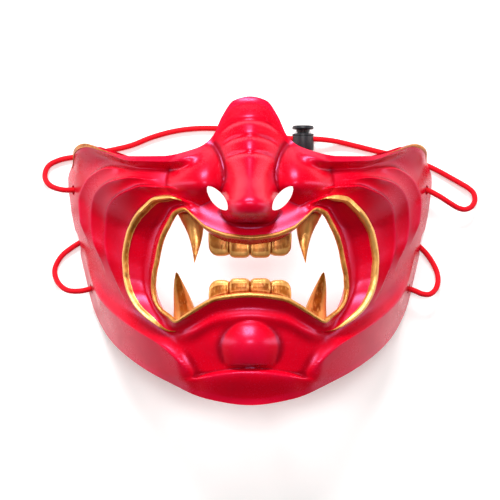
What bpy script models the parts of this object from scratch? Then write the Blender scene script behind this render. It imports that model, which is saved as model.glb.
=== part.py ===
"""Half-face guard in the fierce style: a lacquered shell with a nose, an open mouth, gilt beads, teeth and an elastic cord.

The guard lies on the flat edge of its rear rim with its face up. X runs across the face, Y from chin to nose bridge,
and Z from the rear rim, at zero, to the tip of the nose. The shell is a ring of wall round the mouth: each column of
its grid runs from a point of the mouth's edge, at one turn from the top centre (0) to the bottom centre (1), out to
the point of the outer edge at the same turn. Everything fixed to the shell takes its place from that same grid.
"""

import math
from collections import namedtuple

import bmesh
import bpy
import numpy as np
from mathutils import Matrix, Vector

# Overall form of the shell, in metres.
GUARD_HEIGHT = 0.150
REAR_HALF_WIDTH = 0.095
FACE_DEPTH = 0.076
SECTION_SINK = 0.035
WALL = 0.003

# The mouth's edge, and the thick lip that carries the bead.
MOUTH_HALF_WIDTH = 0.0447
MOUTH_TOP = 0.0185
MOUTH_BOTTOM = 0.0335
LIP_RISE = 0.0045
LIP_SPREAD = 0.0075
LOWER_LIP_RISE = 0.0060
LOWER_LIP_SPREAD = 0.0058
UPPER_LIP_RETURN = 0.0018
SIDE_LIP_RETURN = -0.0052
LOWER_LIP_RETURN = -0.0020
LIP_BLEND = 0.014

# Relief raised on the face.
NOSE_RISE = 0.026
NOSE_HALF_WIDTH = 0.0130
WING_RISE = 0.0110
WING_RADIUS = 0.0125
WING_REACH = 0.0190
WING_FOOT = 0.16
NOSTRIL_CUP_DEPTH = 0.0030
NOSTRIL_CUP_RADIUS = 0.0085
CHEEK_RISE = 0.006
CHIN_RISE = 0.0058
CHIN_HALF_WIDTH = 0.0150
CHIN_BROW = 0.0125
CHIN_JUT = 0.0180
CHIN_UNDERCUT = 0.0022
CHIN_PLATE_RISE = 0.0030
CHIN_FOLD_RISE = 0.0024
CHIN_FOLD_BESIDE = 0.0115
CHIN_FOLD_SPREAD = 0.0036
FOLD_RISE = 0.0055
VALLEY_DEPTH = 0.0018
FLANGE_RISE = 0.007
JAW_RISE = 0.0038
JAW_INNER_SLOPE = 0.009
JAW_OUTER_SLOPE = 0.020
RELIEF_BLEND = 0.0015
ECHO_SHARE = 0.6

# Openings cut through the wall.
NOSTRIL_LENGTH = 0.0150
NOSTRIL_WIDTH = 0.0060
NOSTRIL_SPACING = 0.0312
CORD_HOLE_RADIUS = 0.0026

# Gilt beads that lie on the shell.
LIP_BEAD_WIDTH = 0.0025
FOLD_BEAD_WIDTH = 0.0030
EDGE_BEAD_WIDTH = 0.0028
BEAD_HEIGHT = 0.0013
SEAT_GAP = 0.0003

# Teeth and fangs. Each shows this far beyond the lip, and the hidden root is as long for all.
TOOTH_WIDTH = 0.0108
TOOTH_THICKNESS = 0.0055
UPPER_TOOTH_SHOWS = 0.0085
LOWER_TOOTH_SHOWS = 0.0066
UPPER_FANG_RADIUS = 0.0058
LOWER_FANG_RADIUS = 0.0060
UPPER_FANG_SHOWS = 0.0248
LOWER_FANG_SHOWS = 0.0206
ROOT_HIDDEN = 0.0045
TEETH_IN_ROW = 4

# Elastic cord, and the lock on it.
CORD_DIAMETER = 0.0028
LOCK_RADIUS = 0.0056
LOCK_END_WALL = 0.0012
LOCK_CAP_RADIUS = 0.0056
LOCK_CAP_HEIGHT = 0.0020
PLUNGER_RADIUS = 0.0034
LOCK_TRAVEL = 0.0020
RUNNING_GAP = 0.0003

# How far on either side the columns' ends are evened out, in turns.
GUIDE_SPREAD = 0.06

# How finely the shell is cut.
HALF_COLUMNS = 40
MERGE_DISTANCE = 1e-7

HALF_HEIGHT = GUARD_HEIGHT / 2

# Depth of the face on the centreline and width on the rear plane, at heights given as shares of HALF_HEIGHT.
Front = namedtuple("Front", "height depth")
FRONT = (
    Front(-1.00, 0.90), Front(-0.80, 0.985), Front(-0.55, 1.02), Front(-0.30, 1.01), Front(0.00, 1.00),
    Front(0.30, 0.97), Front(0.60, 0.90), Front(0.80, 0.84), Front(1.00, 0.78),
)
Width = namedtuple("Width", "height width")
WIDTHS = (
    Width(-1.00, 0.78), Width(-0.60, 0.84), Width(-0.35, 0.875), Width(-0.10, 0.92), Width(0.10, 0.955),
    Width(0.30, 0.985), Width(0.50, 1.00), Width(0.70, 0.985), Width(1.00, 0.93),
)

# The outer edge: how far round the section (1 is the rear plane), and the height as a share of HALF_HEIGHT.
Edge = namedtuple("Edge", "turn round height")
OUTER_EDGE = (
    Edge(0.00, 0.000, 1.000), Edge(0.04, 0.068, 0.975), Edge(0.08, 0.115, 0.870), Edge(0.12, 0.150, 0.745),
    Edge(0.17, 0.215, 0.655), Edge(0.23, 0.330, 0.610), Edge(0.30, 0.475, 0.615), Edge(0.36, 0.620, 0.670),
    Edge(0.41, 0.740, 0.715), Edge(0.45, 0.860, 0.670), Edge(0.485, 0.945, 0.585), Edge(0.52, 1.000, 0.490),
    Edge(0.60, 1.000, 0.280), Edge(0.65, 1.000, 0.150), Edge(0.675, 0.966, 0.095), Edge(0.70, 0.966, 0.020),
    Edge(0.725, 1.000, -0.045), Edge(0.770, 1.000, -0.320), Edge(0.80, 0.870, -0.545), Edge(0.84, 0.620, -0.750),
    Edge(0.88, 0.440, -0.855), Edge(0.94, 0.220, -0.960), Edge(1.00, 0.000, -1.000),
)

# The mouth's edge: across as a share of MOUTH_HALF_WIDTH, and up as a share of MOUTH_TOP or of MOUTH_BOTTOM.
Mouth = namedtuple("Mouth", "turn across up")
MOUTH_EDGE = (
    Mouth(0.00, 0.000, 0.250), Mouth(0.08, 0.210, 0.300), Mouth(0.16, 0.440, 0.510), Mouth(0.22, 0.575, 0.810),
    Mouth(0.275, 0.665, 1.000), Mouth(0.34, 0.745, 0.930), Mouth(0.39, 0.825, 0.600), Mouth(0.45, 0.905, 0.216),
    Mouth(0.53, 0.965, -0.194), Mouth(0.60, 0.994, -0.400), Mouth(0.66, 1.000, -0.560), Mouth(0.71, 0.975, -0.700),
    Mouth(0.76, 0.905, -0.835), Mouth(0.815, 0.790, -0.955), Mouth(0.85, 0.730, -1.000), Mouth(0.885, 0.655, -0.930),
    Mouth(0.92, 0.545, -0.820), Mouth(0.955, 0.315, -0.650), Mouth(1.00, 0.000, -0.600),
)

# How far the back of the wall reaches into the mouth beyond the face's edge, at each turn.
Return = namedtuple("Return", "turn reach")
LIP_RETURNS = (
    Return(0.00, UPPER_LIP_RETURN), Return(0.22, UPPER_LIP_RETURN), Return(0.35, SIDE_LIP_RETURN),
    Return(0.81, SIDE_LIP_RETURN), Return(0.92, LOWER_LIP_RETURN), Return(1.00, LOWER_LIP_RETURN),
)

# The nose: heights as shares of HALF_HEIGHT, rise and width as shares of the nose's own, and how round its crest is,
# where 1 is a sharp ridge.
Nose = namedtuple("Nose", "height rise width crest")
NOSE = (
    Nose(-1.00, 0.00, 0.55, 2.4), Nose(0.13, 0.00, 0.55, 2.4), Nose(0.165, 0.12, 0.68, 2.2),
    Nose(0.195, 0.55, 0.88, 2.2), Nose(0.24, 0.92, 1.06, 2.2), Nose(0.30, 1.00, 1.16, 2.0),
    Nose(0.37, 0.90, 1.14, 1.6), Nose(0.47, 0.70, 1.10, 1.35), Nose(0.60, 0.54, 1.20, 1.3),
    Nose(0.75, 0.42, 1.35, 1.3), Nose(0.90, 0.28, 1.45, 1.35), Nose(1.00, 0.14, 1.45, 1.5),
)
WING_PLACE = (1.62 * NOSE_HALF_WIDTH, 0.445 * HALF_HEIGHT)
NOSTRIL_CUP_PLACE = (1.25 * NOSE_HALF_WIDTH, 0.31 * HALF_HEIGHT)
NOSTRIL_HEIGHT = 0.33 * HALF_HEIGHT
NOSTRIL_SLANT = math.radians(40)

# Folds of the cheek, as rings round the mouth: where the crest lies on the way to the outer edge, how wide its inner
# and outer slopes are as shares of that way, its rise as a share of FOLD_RISE, and the turns between which it shows.
Fold = namedtuple("Fold", "crest inner outer rise start full fade end")
FOLDS = (
    Fold(0.20, 0.15, 0.06, 1.15, 0.17, 0.30, 0.76, 0.90),
    Fold(0.42, 0.15, 0.04, 0.80, 0.22, 0.34, 0.62, 0.78),
    Fold(0.58, 0.12, 0.035, 0.70, 0.28, 0.38, 0.60, 0.73),
    Fold(0.74, 0.12, 0.035, 0.60, 0.33, 0.42, 0.58, 0.68),
)

# The jaw's line, which runs from the side of the face down to the chin: across as a share of REAR_HALF_WIDTH, and
# height as a share of HALF_HEIGHT.
Jaw = namedtuple("Jaw", "across height")
JAW_LINE = (
    Jaw(0.25, -0.86), Jaw(0.29, -0.80), Jaw(0.34, -0.72), Jaw(0.43, -0.62), Jaw(0.58, -0.51), Jaw(0.73, -0.37),
    Jaw(0.84, -0.20), Jaw(0.95, 0.05),
)

# Rows of the shell's grid: a fixed distance beside the named way, and the share of the way from mouth to outer edge.
Row = namedtuple("Row", "beside way")
LIP_ROWS = (Row(-LIP_BEAD_WIDTH, 0.0), Row(-LIP_BEAD_WIDTH / 2, 0.0), Row(0.0, 0.0))
FOLD_ROWS = tuple(Row(side * FOLD_BEAD_WIDTH / 2, FOLDS[0].crest) for side in (-1, 0, 1))
EDGE_ROWS = (Row(0.0, 1.0), Row(EDGE_BEAD_WIDTH / 2, 1.0), Row(EDGE_BEAD_WIDTH, 1.0))
FACE_ROWS = (
    *LIP_ROWS, Row(0, 0.05), Row(0, 0.11), *FOLD_ROWS, Row(0, 0.27), Row(0, 0.35), Row(0, 0.42), Row(0, 0.46),
    Row(0, 0.53), Row(0, 0.58), Row(0, 0.62), Row(0, 0.69), Row(0, 0.74), Row(0, 0.78), Row(0, 0.85), Row(0, 0.92),
    *EDGE_ROWS,
)
BACK_ROWS = (
    LIP_ROWS[0], LIP_ROWS[2], Row(0, 0.11), Row(0, 0.20), Row(0, 0.31), Row(0, 0.45), Row(0, 0.58), Row(0, 0.72),
    Row(0, 0.87), EDGE_ROWS[0], EDGE_ROWS[2],
)
MOUTH_JOINT_TURN = 0.60
FOLD_BEAD_TURNS = (0.24, 0.87)
EDGE_BEAD_TURNS = (0.33, 0.49)
BEAD_TAPER_COLUMNS = 3

# A fang's axis: the turn of the mouth's edge where it roots, its lean across for each length that it runs, and how
# far it bows out sideways as a share of its radius.
Fang = namedtuple("Fang", "turn shows radius lean bow taper upward")
UPPER_FANG = Fang(0.335, UPPER_FANG_SHOWS, UPPER_FANG_RADIUS, -0.31, -0.38, 1.35, -1)
LOWER_FANG = Fang(0.802, LOWER_FANG_SHOWS, LOWER_FANG_RADIUS, -0.12, 0.10, 1.0, 1)

# Rings of a fang from root to tip: share of its length, of its radius, and how far it swings forward of the lip.
Ring = namedtuple("Ring", "along radius forward")
FANG_RINGS = (
    Ring(0.00, 1.00, 0.00), Ring(0.22, 1.00, 0.00), Ring(0.38, 0.88, 0.15), Ring(0.54, 0.71, 0.42),
    Ring(0.69, 0.53, 0.72), Ring(0.82, 0.35, 1.00), Ring(0.92, 0.20, 1.20), Ring(0.98, 0.10, 1.32),
    Ring(1.00, 0.03, 1.36),
)
FANG_SIDES = 8

# The cord holes, how far round the section and how high.
Hole = namedtuple("Hole", "round height")
UPPER_HOLE = Hole(0.93, 0.413)
LOWER_HOLE = Hole(0.93, -0.267)

# Places along the cord, in metres. Each list runs from the middle of a hidden run on one side to that on the other.
LOCK_PLACE = (0.0275, 0.0577, LOCK_RADIUS)
UPPER_ROUTE = (
    (-0.0803, 0.0059, 0.0064), (-0.0806, 0.0105, 0.0061), (-0.0815, 0.0165, 0.0056), (-0.0822, 0.0210, 0.0053),
    (-0.0825, 0.0250, 0.0052), (-0.0833, 0.0280, 0.0055), (-0.0855, 0.0302, 0.0062), (-0.0885, 0.0310, 0.0074),
    (-0.0914, 0.0310, 0.0086), (-0.0975, 0.0312, 0.0105), (-0.1035, 0.0335, 0.0090), (-0.1066, 0.0384, 0.0047),
    (-0.1050, 0.0438, 0.0020), (-0.0990, 0.0470, 0.0015), (-0.0880, 0.0490, 0.0015), (-0.0750, 0.0515, 0.0015),
    (-0.0620, 0.0545, 0.0015), (-0.0510, 0.0588, 0.0015), (-0.0390, 0.0620, 0.0015), (-0.0270, 0.0634, 0.0015),
    (-0.0140, 0.0632, 0.0015), (-0.0020, 0.0618, 0.0017), (0.0090, 0.0598, 0.0030), (0.0185, 0.0581, 0.0050),
    (0.0275, 0.0577, 0.0056), (0.0365, 0.0575, 0.0050), (0.0450, 0.0565, 0.0030), (0.0540, 0.0545, 0.0017),
    (0.0640, 0.0520, 0.0015), (0.0760, 0.0490, 0.0015), (0.0870, 0.0460, 0.0015), (0.0960, 0.0423, 0.0016),
    (0.1050, 0.0374, 0.0020), (0.1102, 0.0344, 0.0026), (0.1138, 0.0321, 0.0033), (0.1163, 0.0294, 0.0041),
    (0.1168, 0.0259, 0.0051), (0.1151, 0.0227, 0.0061), (0.1118, 0.0211, 0.0072), (0.1082, 0.0216, 0.0083),
    (0.1033, 0.0243, 0.0096), (0.0976, 0.0279, 0.0101), (0.0914, 0.0310, 0.0086), (0.0885, 0.0310, 0.0074),
    (0.0855, 0.0302, 0.0062), (0.0833, 0.0280, 0.0055), (0.0825, 0.0250, 0.0052), (0.0822, 0.0210, 0.0053),
    (0.0815, 0.0165, 0.0056), (0.0806, 0.0105, 0.0061), (0.0803, 0.0059, 0.0064),
)
LOWER_ROUTE = (
    (-0.0802, 0.0056, 0.0064), (-0.0798, 0.0012, 0.0062), (-0.0786, -0.0023, 0.0060), (-0.0760, -0.0060, 0.0060),
    (-0.0735, -0.0102, 0.0060), (-0.0727, -0.0138, 0.0061), (-0.0735, -0.0168, 0.0063), (-0.0757, -0.0191, 0.0070),
    (-0.0787, -0.0200, 0.0081), (-0.0817, -0.0200, 0.00915), (-0.0880, -0.0212, 0.0110), (-0.0945, -0.0207, 0.0098),
    (-0.0998, -0.0165, 0.0057), (-0.1017, -0.0103, 0.0024), (-0.0985, -0.0035, 0.0015), (-0.0925, 0.0015, 0.0015),
    (-0.0860, 0.0055, 0.0015), (-0.0795, 0.0105, 0.0015), (-0.0720, 0.0190, 0.0015), (-0.0610, 0.0300, 0.0015),
    (-0.0460, 0.0380, 0.0015), (-0.0250, 0.0412, 0.0015), (0.0000, 0.0418, 0.0015), (0.0250, 0.0412, 0.0015),
    (0.0460, 0.0380, 0.0015), (0.0610, 0.0300, 0.0015), (0.0720, 0.0190, 0.0015), (0.0795, 0.0105, 0.0015),
    (0.0865, 0.0035, 0.0015), (0.0920, -0.0020, 0.0015), (0.0958, -0.0078, 0.0019), (0.0975, -0.0125, 0.0034),
    (0.0975, -0.0168, 0.0058), (0.0960, -0.0204, 0.0081), (0.0930, -0.0228, 0.0099), (0.0890, -0.0227, 0.0109),
    (0.0852, -0.0211, 0.0103), (0.0817, -0.0200, 0.00915), (0.0787, -0.0200, 0.0081), (0.0757, -0.0191, 0.0070),
    (0.0735, -0.0168, 0.0063), (0.0727, -0.0138, 0.0061), (0.0735, -0.0102, 0.0060), (0.0760, -0.0060, 0.0060),
    (0.0786, -0.0023, 0.0060), (0.0798, 0.0012, 0.0062), (0.0802, 0.0056, 0.0064),
)
ROUTE_POINTS = 68


def smoothstep(low, high, value):
    """0 below low, 1 above high, and a smooth ramp between."""
    share = np.clip((value - low) / (high - low), 0.0, 1.0)
    return share * share * (3.0 - 2.0 * share)


def window(start, full, fade, end, value):
    """1 between full and fade, running out to 0 at start and end."""
    return smoothstep(start, full, value) * (1.0 - smoothstep(fade, end, value))


def through(knots, values, at):
    """Curve through the values at the knots that never swings past them (monotone cubic)."""
    knots, values = np.asarray(knots, float), np.asarray(values, float)
    step = np.diff(knots)
    rise = np.diff(values) / step
    before, after = rise[:-1], rise[1:]
    same_way = before * after > 0
    inner = np.where(same_way, 2 * before * after / np.where(same_way, before + after, 1.0), 0.0)
    slope = np.concatenate([[0.0], inner, [0.0]])
    i = np.clip(np.searchsorted(knots, at, side="right") - 1, 0, len(step) - 1)
    s = np.clip((at - knots[i]) / step[i], 0.0, 1.0)
    return (
        values[i] * (1 + 2 * s) * (1 - s) ** 2
        + values[i + 1] * s * s * (3 - 2 * s)
        + step[i] * (slope[i] * s * (1 - s) ** 2 - slope[i + 1] * s * s * (1 - s))
    )


def edge_curve(table, turn):
    """Both values of an edge table at each turn. The first is odd across the face and the second is even."""
    knots, across, up = (np.array(column) for column in zip(*table))
    knots = np.concatenate([-knots[:0:-1], knots, 2 - knots[-2::-1]])
    across = np.concatenate([-across[:0:-1], across, -across[-2::-1]])
    up = np.concatenate([up[:0:-1], up, up[-2::-1]])
    side = np.sign(turn)
    return side * through(knots, across, np.abs(turn)), through(knots, up, np.abs(turn))


def section(height):
    """Half-width and half-depth of the plan ellipse at a height, and its angle where it meets the rear plane."""
    share = height / HALF_HEIGHT
    deep = FACE_DEPTH * through(*zip(*FRONT), share) + SECTION_SINK
    rear_angle = np.arccos(SECTION_SINK / deep)
    wide = REAR_HALF_WIDTH * through(*zip(*WIDTHS), share) / np.sin(rear_angle)
    return wide, deep, rear_angle


def section_point(angle, height, behind=0.0):
    """Point of the plain section at an angle from the centreline, a distance behind its surface."""
    wide, deep, _ = section(height)
    out = np.stack([np.sin(angle) / wide, np.zeros_like(angle), np.cos(angle) / deep], axis=-1)
    out /= np.linalg.norm(out, axis=-1, keepdims=True)
    place = np.stack([wide * np.sin(angle), height + 0 * angle, deep * np.cos(angle) - SECTION_SINK], axis=-1)
    return place - out * np.asarray(behind)[..., None]


def mouth_edge(turn):
    """Place of the mouth's edge, across and up."""
    across, up = edge_curve(MOUTH_EDGE, turn)
    return across * MOUTH_HALF_WIDTH, np.where(up > 0, up * MOUTH_TOP, up * MOUTH_BOTTOM)


def way_out(turn):
    """Where each column starts and heads for, as round and height, and the length of the way between.

    Columns head for the outer edge's mean over the turns on either side, so that what follows them runs smoothly.
    """
    across, start_height = mouth_edge(turn)
    wide, _, rear_angle = section(start_height)
    start_round = np.arcsin(across / wide) / rear_angle
    beside = [edge_curve(OUTER_EDGE, turn + step) for step in np.linspace(-GUIDE_SPREAD, GUIDE_SPREAD, 9)]
    end_round, end_share = np.mean(beside, axis=0)
    end_height = end_share * HALF_HEIGHT
    wide, _, rear_angle = section((start_height + end_height) / 2)
    length = np.hypot((end_round - start_round) * rear_angle * wide, end_height - start_height)
    return start_round, start_height, end_round, end_height, length


def soft_max(first, second):
    """The larger of two reliefs, rounded where they cross."""
    return (first + second + np.sqrt((first - second) ** 2 + RELIEF_BLEND**2) - RELIEF_BLEND) / 2


def dome(across, height, place, half_wide, half_high):
    """Smooth round hill on each side of the centreline, 1 at its centre and 0 outside its radii."""
    away = np.hypot((np.abs(across) - place[0]) / half_wide, (height - place[1]) / half_high)
    return np.clip(1.0 - away**2, 0.0, 1.0) ** 2


def nose_relief(across, height):
    """Rise of the nose: a ridge that ends in a bulb, with a wing beside it that has a cup round the nostril."""
    share = height / HALF_HEIGHT
    knots, rise, width, crest = zip(*NOSE)
    from_ridge = np.abs(across) / (NOSE_HALF_WIDTH * through(knots, width, share))
    soft_crest = np.clip(np.sqrt(from_ridge**2 + 0.06**2) - 0.06, 0.0, 1.0)
    ridge = NOSE_RISE * through(knots, rise, share) * (1.0 - soft_crest ** through(knots, crest, share)) ** 1.25
    out, up = np.abs(across) - WING_PLACE[0], height - WING_PLACE[1]
    from_wing = np.hypot(out / np.where(out > 0, WING_REACH, WING_RADIUS), up / np.where(up > 0, WING_REACH, WING_RADIUS))
    hill = np.clip(1.0 - from_wing**2, 0.0, 1.0)
    wing = WING_RISE * hill**1.35 * smoothstep(0.0, WING_FOOT, hill)
    cup = NOSTRIL_CUP_DEPTH * dome(across, height, NOSTRIL_CUP_PLACE, NOSTRIL_CUP_RADIUS, NOSTRIL_CUP_RADIUS)
    return np.maximum(soft_max(ridge, wing) - cup, 0.0)


def chin_relief(across, height):
    """Rise of the chin: a rounded boss that juts out over a crease, and the plate below the crease."""
    crease = (-0.755 - 0.45 * (across / HALF_HEIGHT) ** 2) * HALF_HEIGHT
    above = height - 0.15 * HALF_HEIGHT - crease
    from_boss = np.hypot(across / CHIN_HALF_WIDTH, above / np.where(above > 0, CHIN_BROW, CHIN_JUT))
    boss = np.clip(1.0 - from_boss**2, 0.0, 1.0) ** 1.3 * smoothstep(crease, crease + CHIN_UNDERCUT, height)
    plate = 1.0 - smoothstep(crease - CHIN_UNDERCUT, crease, height)
    return CHIN_RISE * boss + CHIN_PLATE_RISE * plate * (1.0 - smoothstep(0.22, 0.46, np.abs(across) / HALF_HEIGHT))


def broad_relief(turn, way, across, height):
    """Relief that shows on both sides of the wall: nose, cheekbone, flange, chin and the plate below it."""
    rise = nose_relief(across, height) + chin_relief(across, height)
    rise += CHEEK_RISE * dome(across, height, (0.055, 0.030), 0.030, 0.020)
    rise += FLANGE_RISE * smoothstep(0.78, 1.0, way) ** 1.5 * window(0.13, 0.22, 0.42, 0.49, np.abs(turn))
    return rise


def fine_relief(turn, way, across, height):
    """Relief that the back of the wall echoes in part: the folds of the cheeks and the jaw's ridge."""
    rise = np.zeros_like(way)
    for fold in FOLDS:
        shown = window(fold.start, fold.full, fold.fade, fold.end, np.abs(turn))
        climb = np.clip((way - fold.crest + fold.inner) / fold.inner, 0.0, 1.0) ** 1.9
        drop = 1.0 - smoothstep(fold.crest, fold.crest + fold.outer, way)
        rise = np.maximum(rise, FOLD_RISE * fold.rise * shown * climb * drop)
    valley = window(0.0, 0.06, 0.10, 0.19, way) * window(0.20, 0.30, 0.70, 0.84, np.abs(turn))
    return rise - VALLEY_DEPTH * valley + JAW_RISE * jaw_ridge(across, height)


def jaw_ridge(across, height):
    """Crest along the jaw's line, steep towards the mouth and long towards the chin's underside."""
    knots, heights = zip(*JAW_LINE)
    share = np.abs(across) / REAR_HALF_WIDTH
    above = height - through(knots, heights, share) * HALF_HEIGHT
    steep = np.clip(1.0 - above / JAW_INNER_SLOPE, 0.0, 1.0) ** 2
    long = np.clip(1.0 + above / JAW_OUTER_SLOPE, 0.0, 1.0) ** 1.5
    return np.where(above > 0, steep, long) * window(0.25, 0.36, 0.76, 0.92, share)


def grid_place(turn, far):
    """How far round and how high a point is that lies far along the way out. The way's end bends to the true edge."""
    start_round, start_height, end_round, end_height, length = way_out(turn)
    edge_round, edge_share = edge_curve(OUTER_EDGE, turn)
    share = far / length
    bend = smoothstep(0.45, 1.0, share)
    round_share = start_round + share * (end_round - start_round) + bend * (edge_round - end_round)
    height = start_height + share * (end_height - start_height) + bend * (edge_share * HALF_HEIGHT - end_height)
    return round_share, height


def face_points(turn, far, lip=1.0, fine=1.0):
    """Points of the shell's surface, far along the way out from the mouth's edge at each turn."""
    length = way_out(turn)[-1]
    way = np.clip((far - LIP_BEAD_WIDTH) / (length - LIP_BEAD_WIDTH - EDGE_BEAD_WIDTH), 0.0, None)
    round_share, height = grid_place(turn, far)
    wide, deep, rear_angle = section(height)
    angle = round_share * rear_angle
    across = wide * np.sin(angle)
    rise = broad_relief(turn, way, across, height) + fine * fine_relief(turn, way, across, height)
    thin_at_corner = 1.0 - 0.45 * window(0.38, 0.50, 0.66, 0.78, np.abs(turn))
    low = smoothstep(0.80, 0.90, np.abs(turn))
    lip_rise, lip_spread = LIP_RISE + (LOWER_LIP_RISE - LIP_RISE) * low, LIP_SPREAD + (LOWER_LIP_SPREAD - LIP_SPREAD) * low
    rise = rise + lip * lip_rise * thin_at_corner * np.exp(-((far / lip_spread) ** 2))
    chin_fold = np.exp(-(((far - CHIN_FOLD_BESIDE) / CHIN_FOLD_SPREAD) ** 2))
    rise = rise + CHIN_FOLD_RISE * smoothstep(0.86, 0.93, np.abs(turn)) * chin_fold
    rise = rise * (1.0 - smoothstep(0.90, 0.985, np.abs(round_share)))
    return section_point(angle, height, -rise)


def distances(turn, rows):
    """How far along the way out each row lies, at each turn."""
    length = way_out(turn)[-1][:, None]
    beside, way = (np.array(column)[None, :] for column in zip(*rows))
    return LIP_BEAD_WIDTH + beside + way * (length - LIP_BEAD_WIDTH - EDGE_BEAD_WIDTH)


def outward(points):
    """Directions out of a closed ring of columns, halfway between those of the faces on either side."""
    around, along = np.roll(points, -1, axis=0) - points, np.diff(points, axis=1)
    around /= np.linalg.norm(around, axis=-1, keepdims=True)
    along /= np.linalg.norm(along, axis=-1, keepdims=True)
    around = around + np.roll(around, 1, axis=0)
    along = np.concatenate([2 * along[:, :1], along[:, :-1] + along[:, 1:], 2 * along[:, -1:]], axis=1)
    normal = np.cross(around, along)
    return normal / np.linalg.norm(normal, axis=-1, keepdims=True)


def shell_surfaces(turns, face_rows, back_rows):
    """Points of the face and of the back of the wall, one column for each turn."""
    turn = turns[:, None]
    face = face_points(turn, distances(turns, face_rows))
    far = distances(turns, back_rows)
    near_lip = 1.0 - smoothstep(0.0, LIP_BLEND, far)
    drawn = through(*zip(*LIP_RETURNS), np.abs(turn))
    back = face_points(turn, far - drawn * near_lip, lip=0.0, fine=ECHO_SHARE)
    back = back - WALL * outward(back)
    back[..., 2] = np.maximum(back[..., 2], 0.0)
    return face, back


def loft(name, rings, material, closed=False):
    """Solid skin through a row of rings. A closed row meets itself, and an open one gets a flat cap at each end."""
    if closed:
        rings = np.concatenate([rings, rings[:1]])
    rings = np.concatenate([rings, rings[:, :1]], axis=1)
    along, around = rings.shape[0] - 1, rings.shape[1] - 1
    mesh = bmesh.new()
    bmesh.ops.create_grid(mesh, x_segments=along, y_segments=around, size=1.0)
    for vertex in mesh.verts:
        i = round((vertex.co.x + 1.0) / 2.0 * along)
        j = round((vertex.co.y + 1.0) / 2.0 * around)
        vertex.co = rings[i, j]
    bmesh.ops.remove_doubles(mesh, verts=mesh.verts, dist=MERGE_DISTANCE)
    bmesh.ops.holes_fill(mesh, edges=[edge for edge in mesh.edges if edge.is_boundary], sides=0)
    # The shorter diagonal of each twisted quad, so that surfaces a gap apart break the same way and never cross.
    bmesh.ops.triangulate(mesh, faces=mesh.faces, quad_method="SHORT_EDGE", ngon_method="BEAUTY")
    return link(name, mesh, material)


def link(name, mesh, material):
    """New object from a bmesh, shaded smooth, in the guard's collection."""
    bmesh.ops.recalc_face_normals(mesh, faces=mesh.faces)
    data = bpy.data.meshes.new(name)
    mesh.to_mesh(data)
    mesh.free()
    data.shade_smooth()
    data.set_sharp_from_angle(angle=math.radians(40))
    if material:
        data.materials.append(material)
    made = bpy.data.objects.new(name, data)
    bpy.data.collections["face_guard" if material else "cutters"].objects.link(made)
    return made


def paint(name, colour, roughness, metallic=0.0):
    """Plain material of one colour."""
    made = bpy.data.materials.new(name)
    made.use_nodes = True
    shader = made.node_tree.nodes["Principled BSDF"]
    shader.inputs["Base Color"].default_value = (*colour, 1.0)
    shader.inputs["Roughness"].default_value = roughness
    shader.inputs["Metallic"].default_value = metallic
    return made


def clear_scene():
    """Removes the startup scene's objects and makes the guard's collections."""
    for thing in list(bpy.data.objects):
        bpy.data.objects.remove(thing)
    for name in ("face_guard", "cutters"):
        made = bpy.data.collections.new(name)
        bpy.context.scene.collection.children.link(made)
    bpy.data.collections["cutters"].hide_render = True


def cut(target, cutter):
    """Takes the cutter's shape out of the target."""
    cutter.hide_render = True
    cutter.display_type = "WIRE"
    change = target.modifiers.new(cutter.name, "BOOLEAN")
    change.operation = "DIFFERENCE"
    change.solver = "EXACT"
    change.object = cutter


def round_bar(name, radii, length, sides, place, material=None):
    """Round or oval bar centred on a placing matrix, along its Z."""
    mesh = bmesh.new()
    bmesh.ops.create_cone(
        mesh, cap_ends=True, segments=sides, radius1=1.0, radius2=1.0, depth=length,
        matrix=place @ Matrix.Diagonal((*radii, 1.0, 1.0)),
    )
    return link(name, mesh, material)


def make_shell(turns, material):
    """Face guard shell with its nostrils and cord holes."""
    face, back = shell_surfaces(turns, FACE_ROWS, BACK_ROWS)
    shell = loft("shell", np.concatenate([face, back[:, ::-1]], axis=1), material, closed=True)
    for side, word in ((-1, "left"), (1, "right")):
        place = Matrix.Translation((side * NOSTRIL_SPACING / 2, NOSTRIL_HEIGHT, FACE_DEPTH))
        place @= Matrix.Rotation(side * -NOSTRIL_SLANT, 4, "Z")
        radii = (NOSTRIL_WIDTH / 2, NOSTRIL_LENGTH / 2)
        cut(shell, round_bar("nostril_cutter_" + word, radii, FACE_DEPTH, 20, place))
        for hole, level in ((UPPER_HOLE, "upper"), (LOWER_HOLE, "lower")):
            height = np.array(hole.height * HALF_HEIGHT)
            angle = side * hole.round * section(height)[2]
            middle = section_point(angle, height, WALL / 2)
            out = Vector(middle - section_point(angle, height, WALL))
            place = Matrix.Translation(middle) @ out.to_track_quat("Z", "Y").to_matrix().to_4x4()
            radii = (CORD_HOLE_RADIUS, CORD_HOLE_RADIUS)
            cut(shell, round_bar(f"{level}_hole_cutter_{word}", radii, 4 * WALL, 16, place))
    return face


def bead(name, seat, normal, material, tapered=True):
    """Half-round bead over three rows of the shell's grid, a seat gap above them. Each end draws back by half a gap."""
    size = np.ones((len(seat), 1))
    if tapered:
        ends = np.minimum(np.arange(len(seat)), np.arange(len(seat))[::-1])[:, None]
        size = 0.35 + 0.65 * smoothstep(0.0, BEAD_TAPER_COLUMNS, ends)
    seat, normal = seat.copy(), normal.copy()
    crown = normal[:, 0] + normal[:, 2]
    normal[:, 1] = crown / np.linalg.norm(crown, axis=-1, keepdims=True)
    for end, beside in ((0, 1), (-1, -2)):
        inward = seat[beside] - seat[end]
        seat[end] += inward / np.linalg.norm(inward, axis=-1, keepdims=True) * SEAT_GAP / 2
    edges = [(0, 0.0), (1, 0.0), (2, 0.0), (2, 0.3), (1, 1.0), (0, 0.3)]
    rings = []
    for row, share in edges:
        foot = seat[:, 1] + size * (seat[:, row] - seat[:, 1])
        rings.append(foot + normal[:, row] * (SEAT_GAP + share * size * BEAD_HEIGHT))
    return loft(name, np.stack(rings, axis=1), material)


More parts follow.
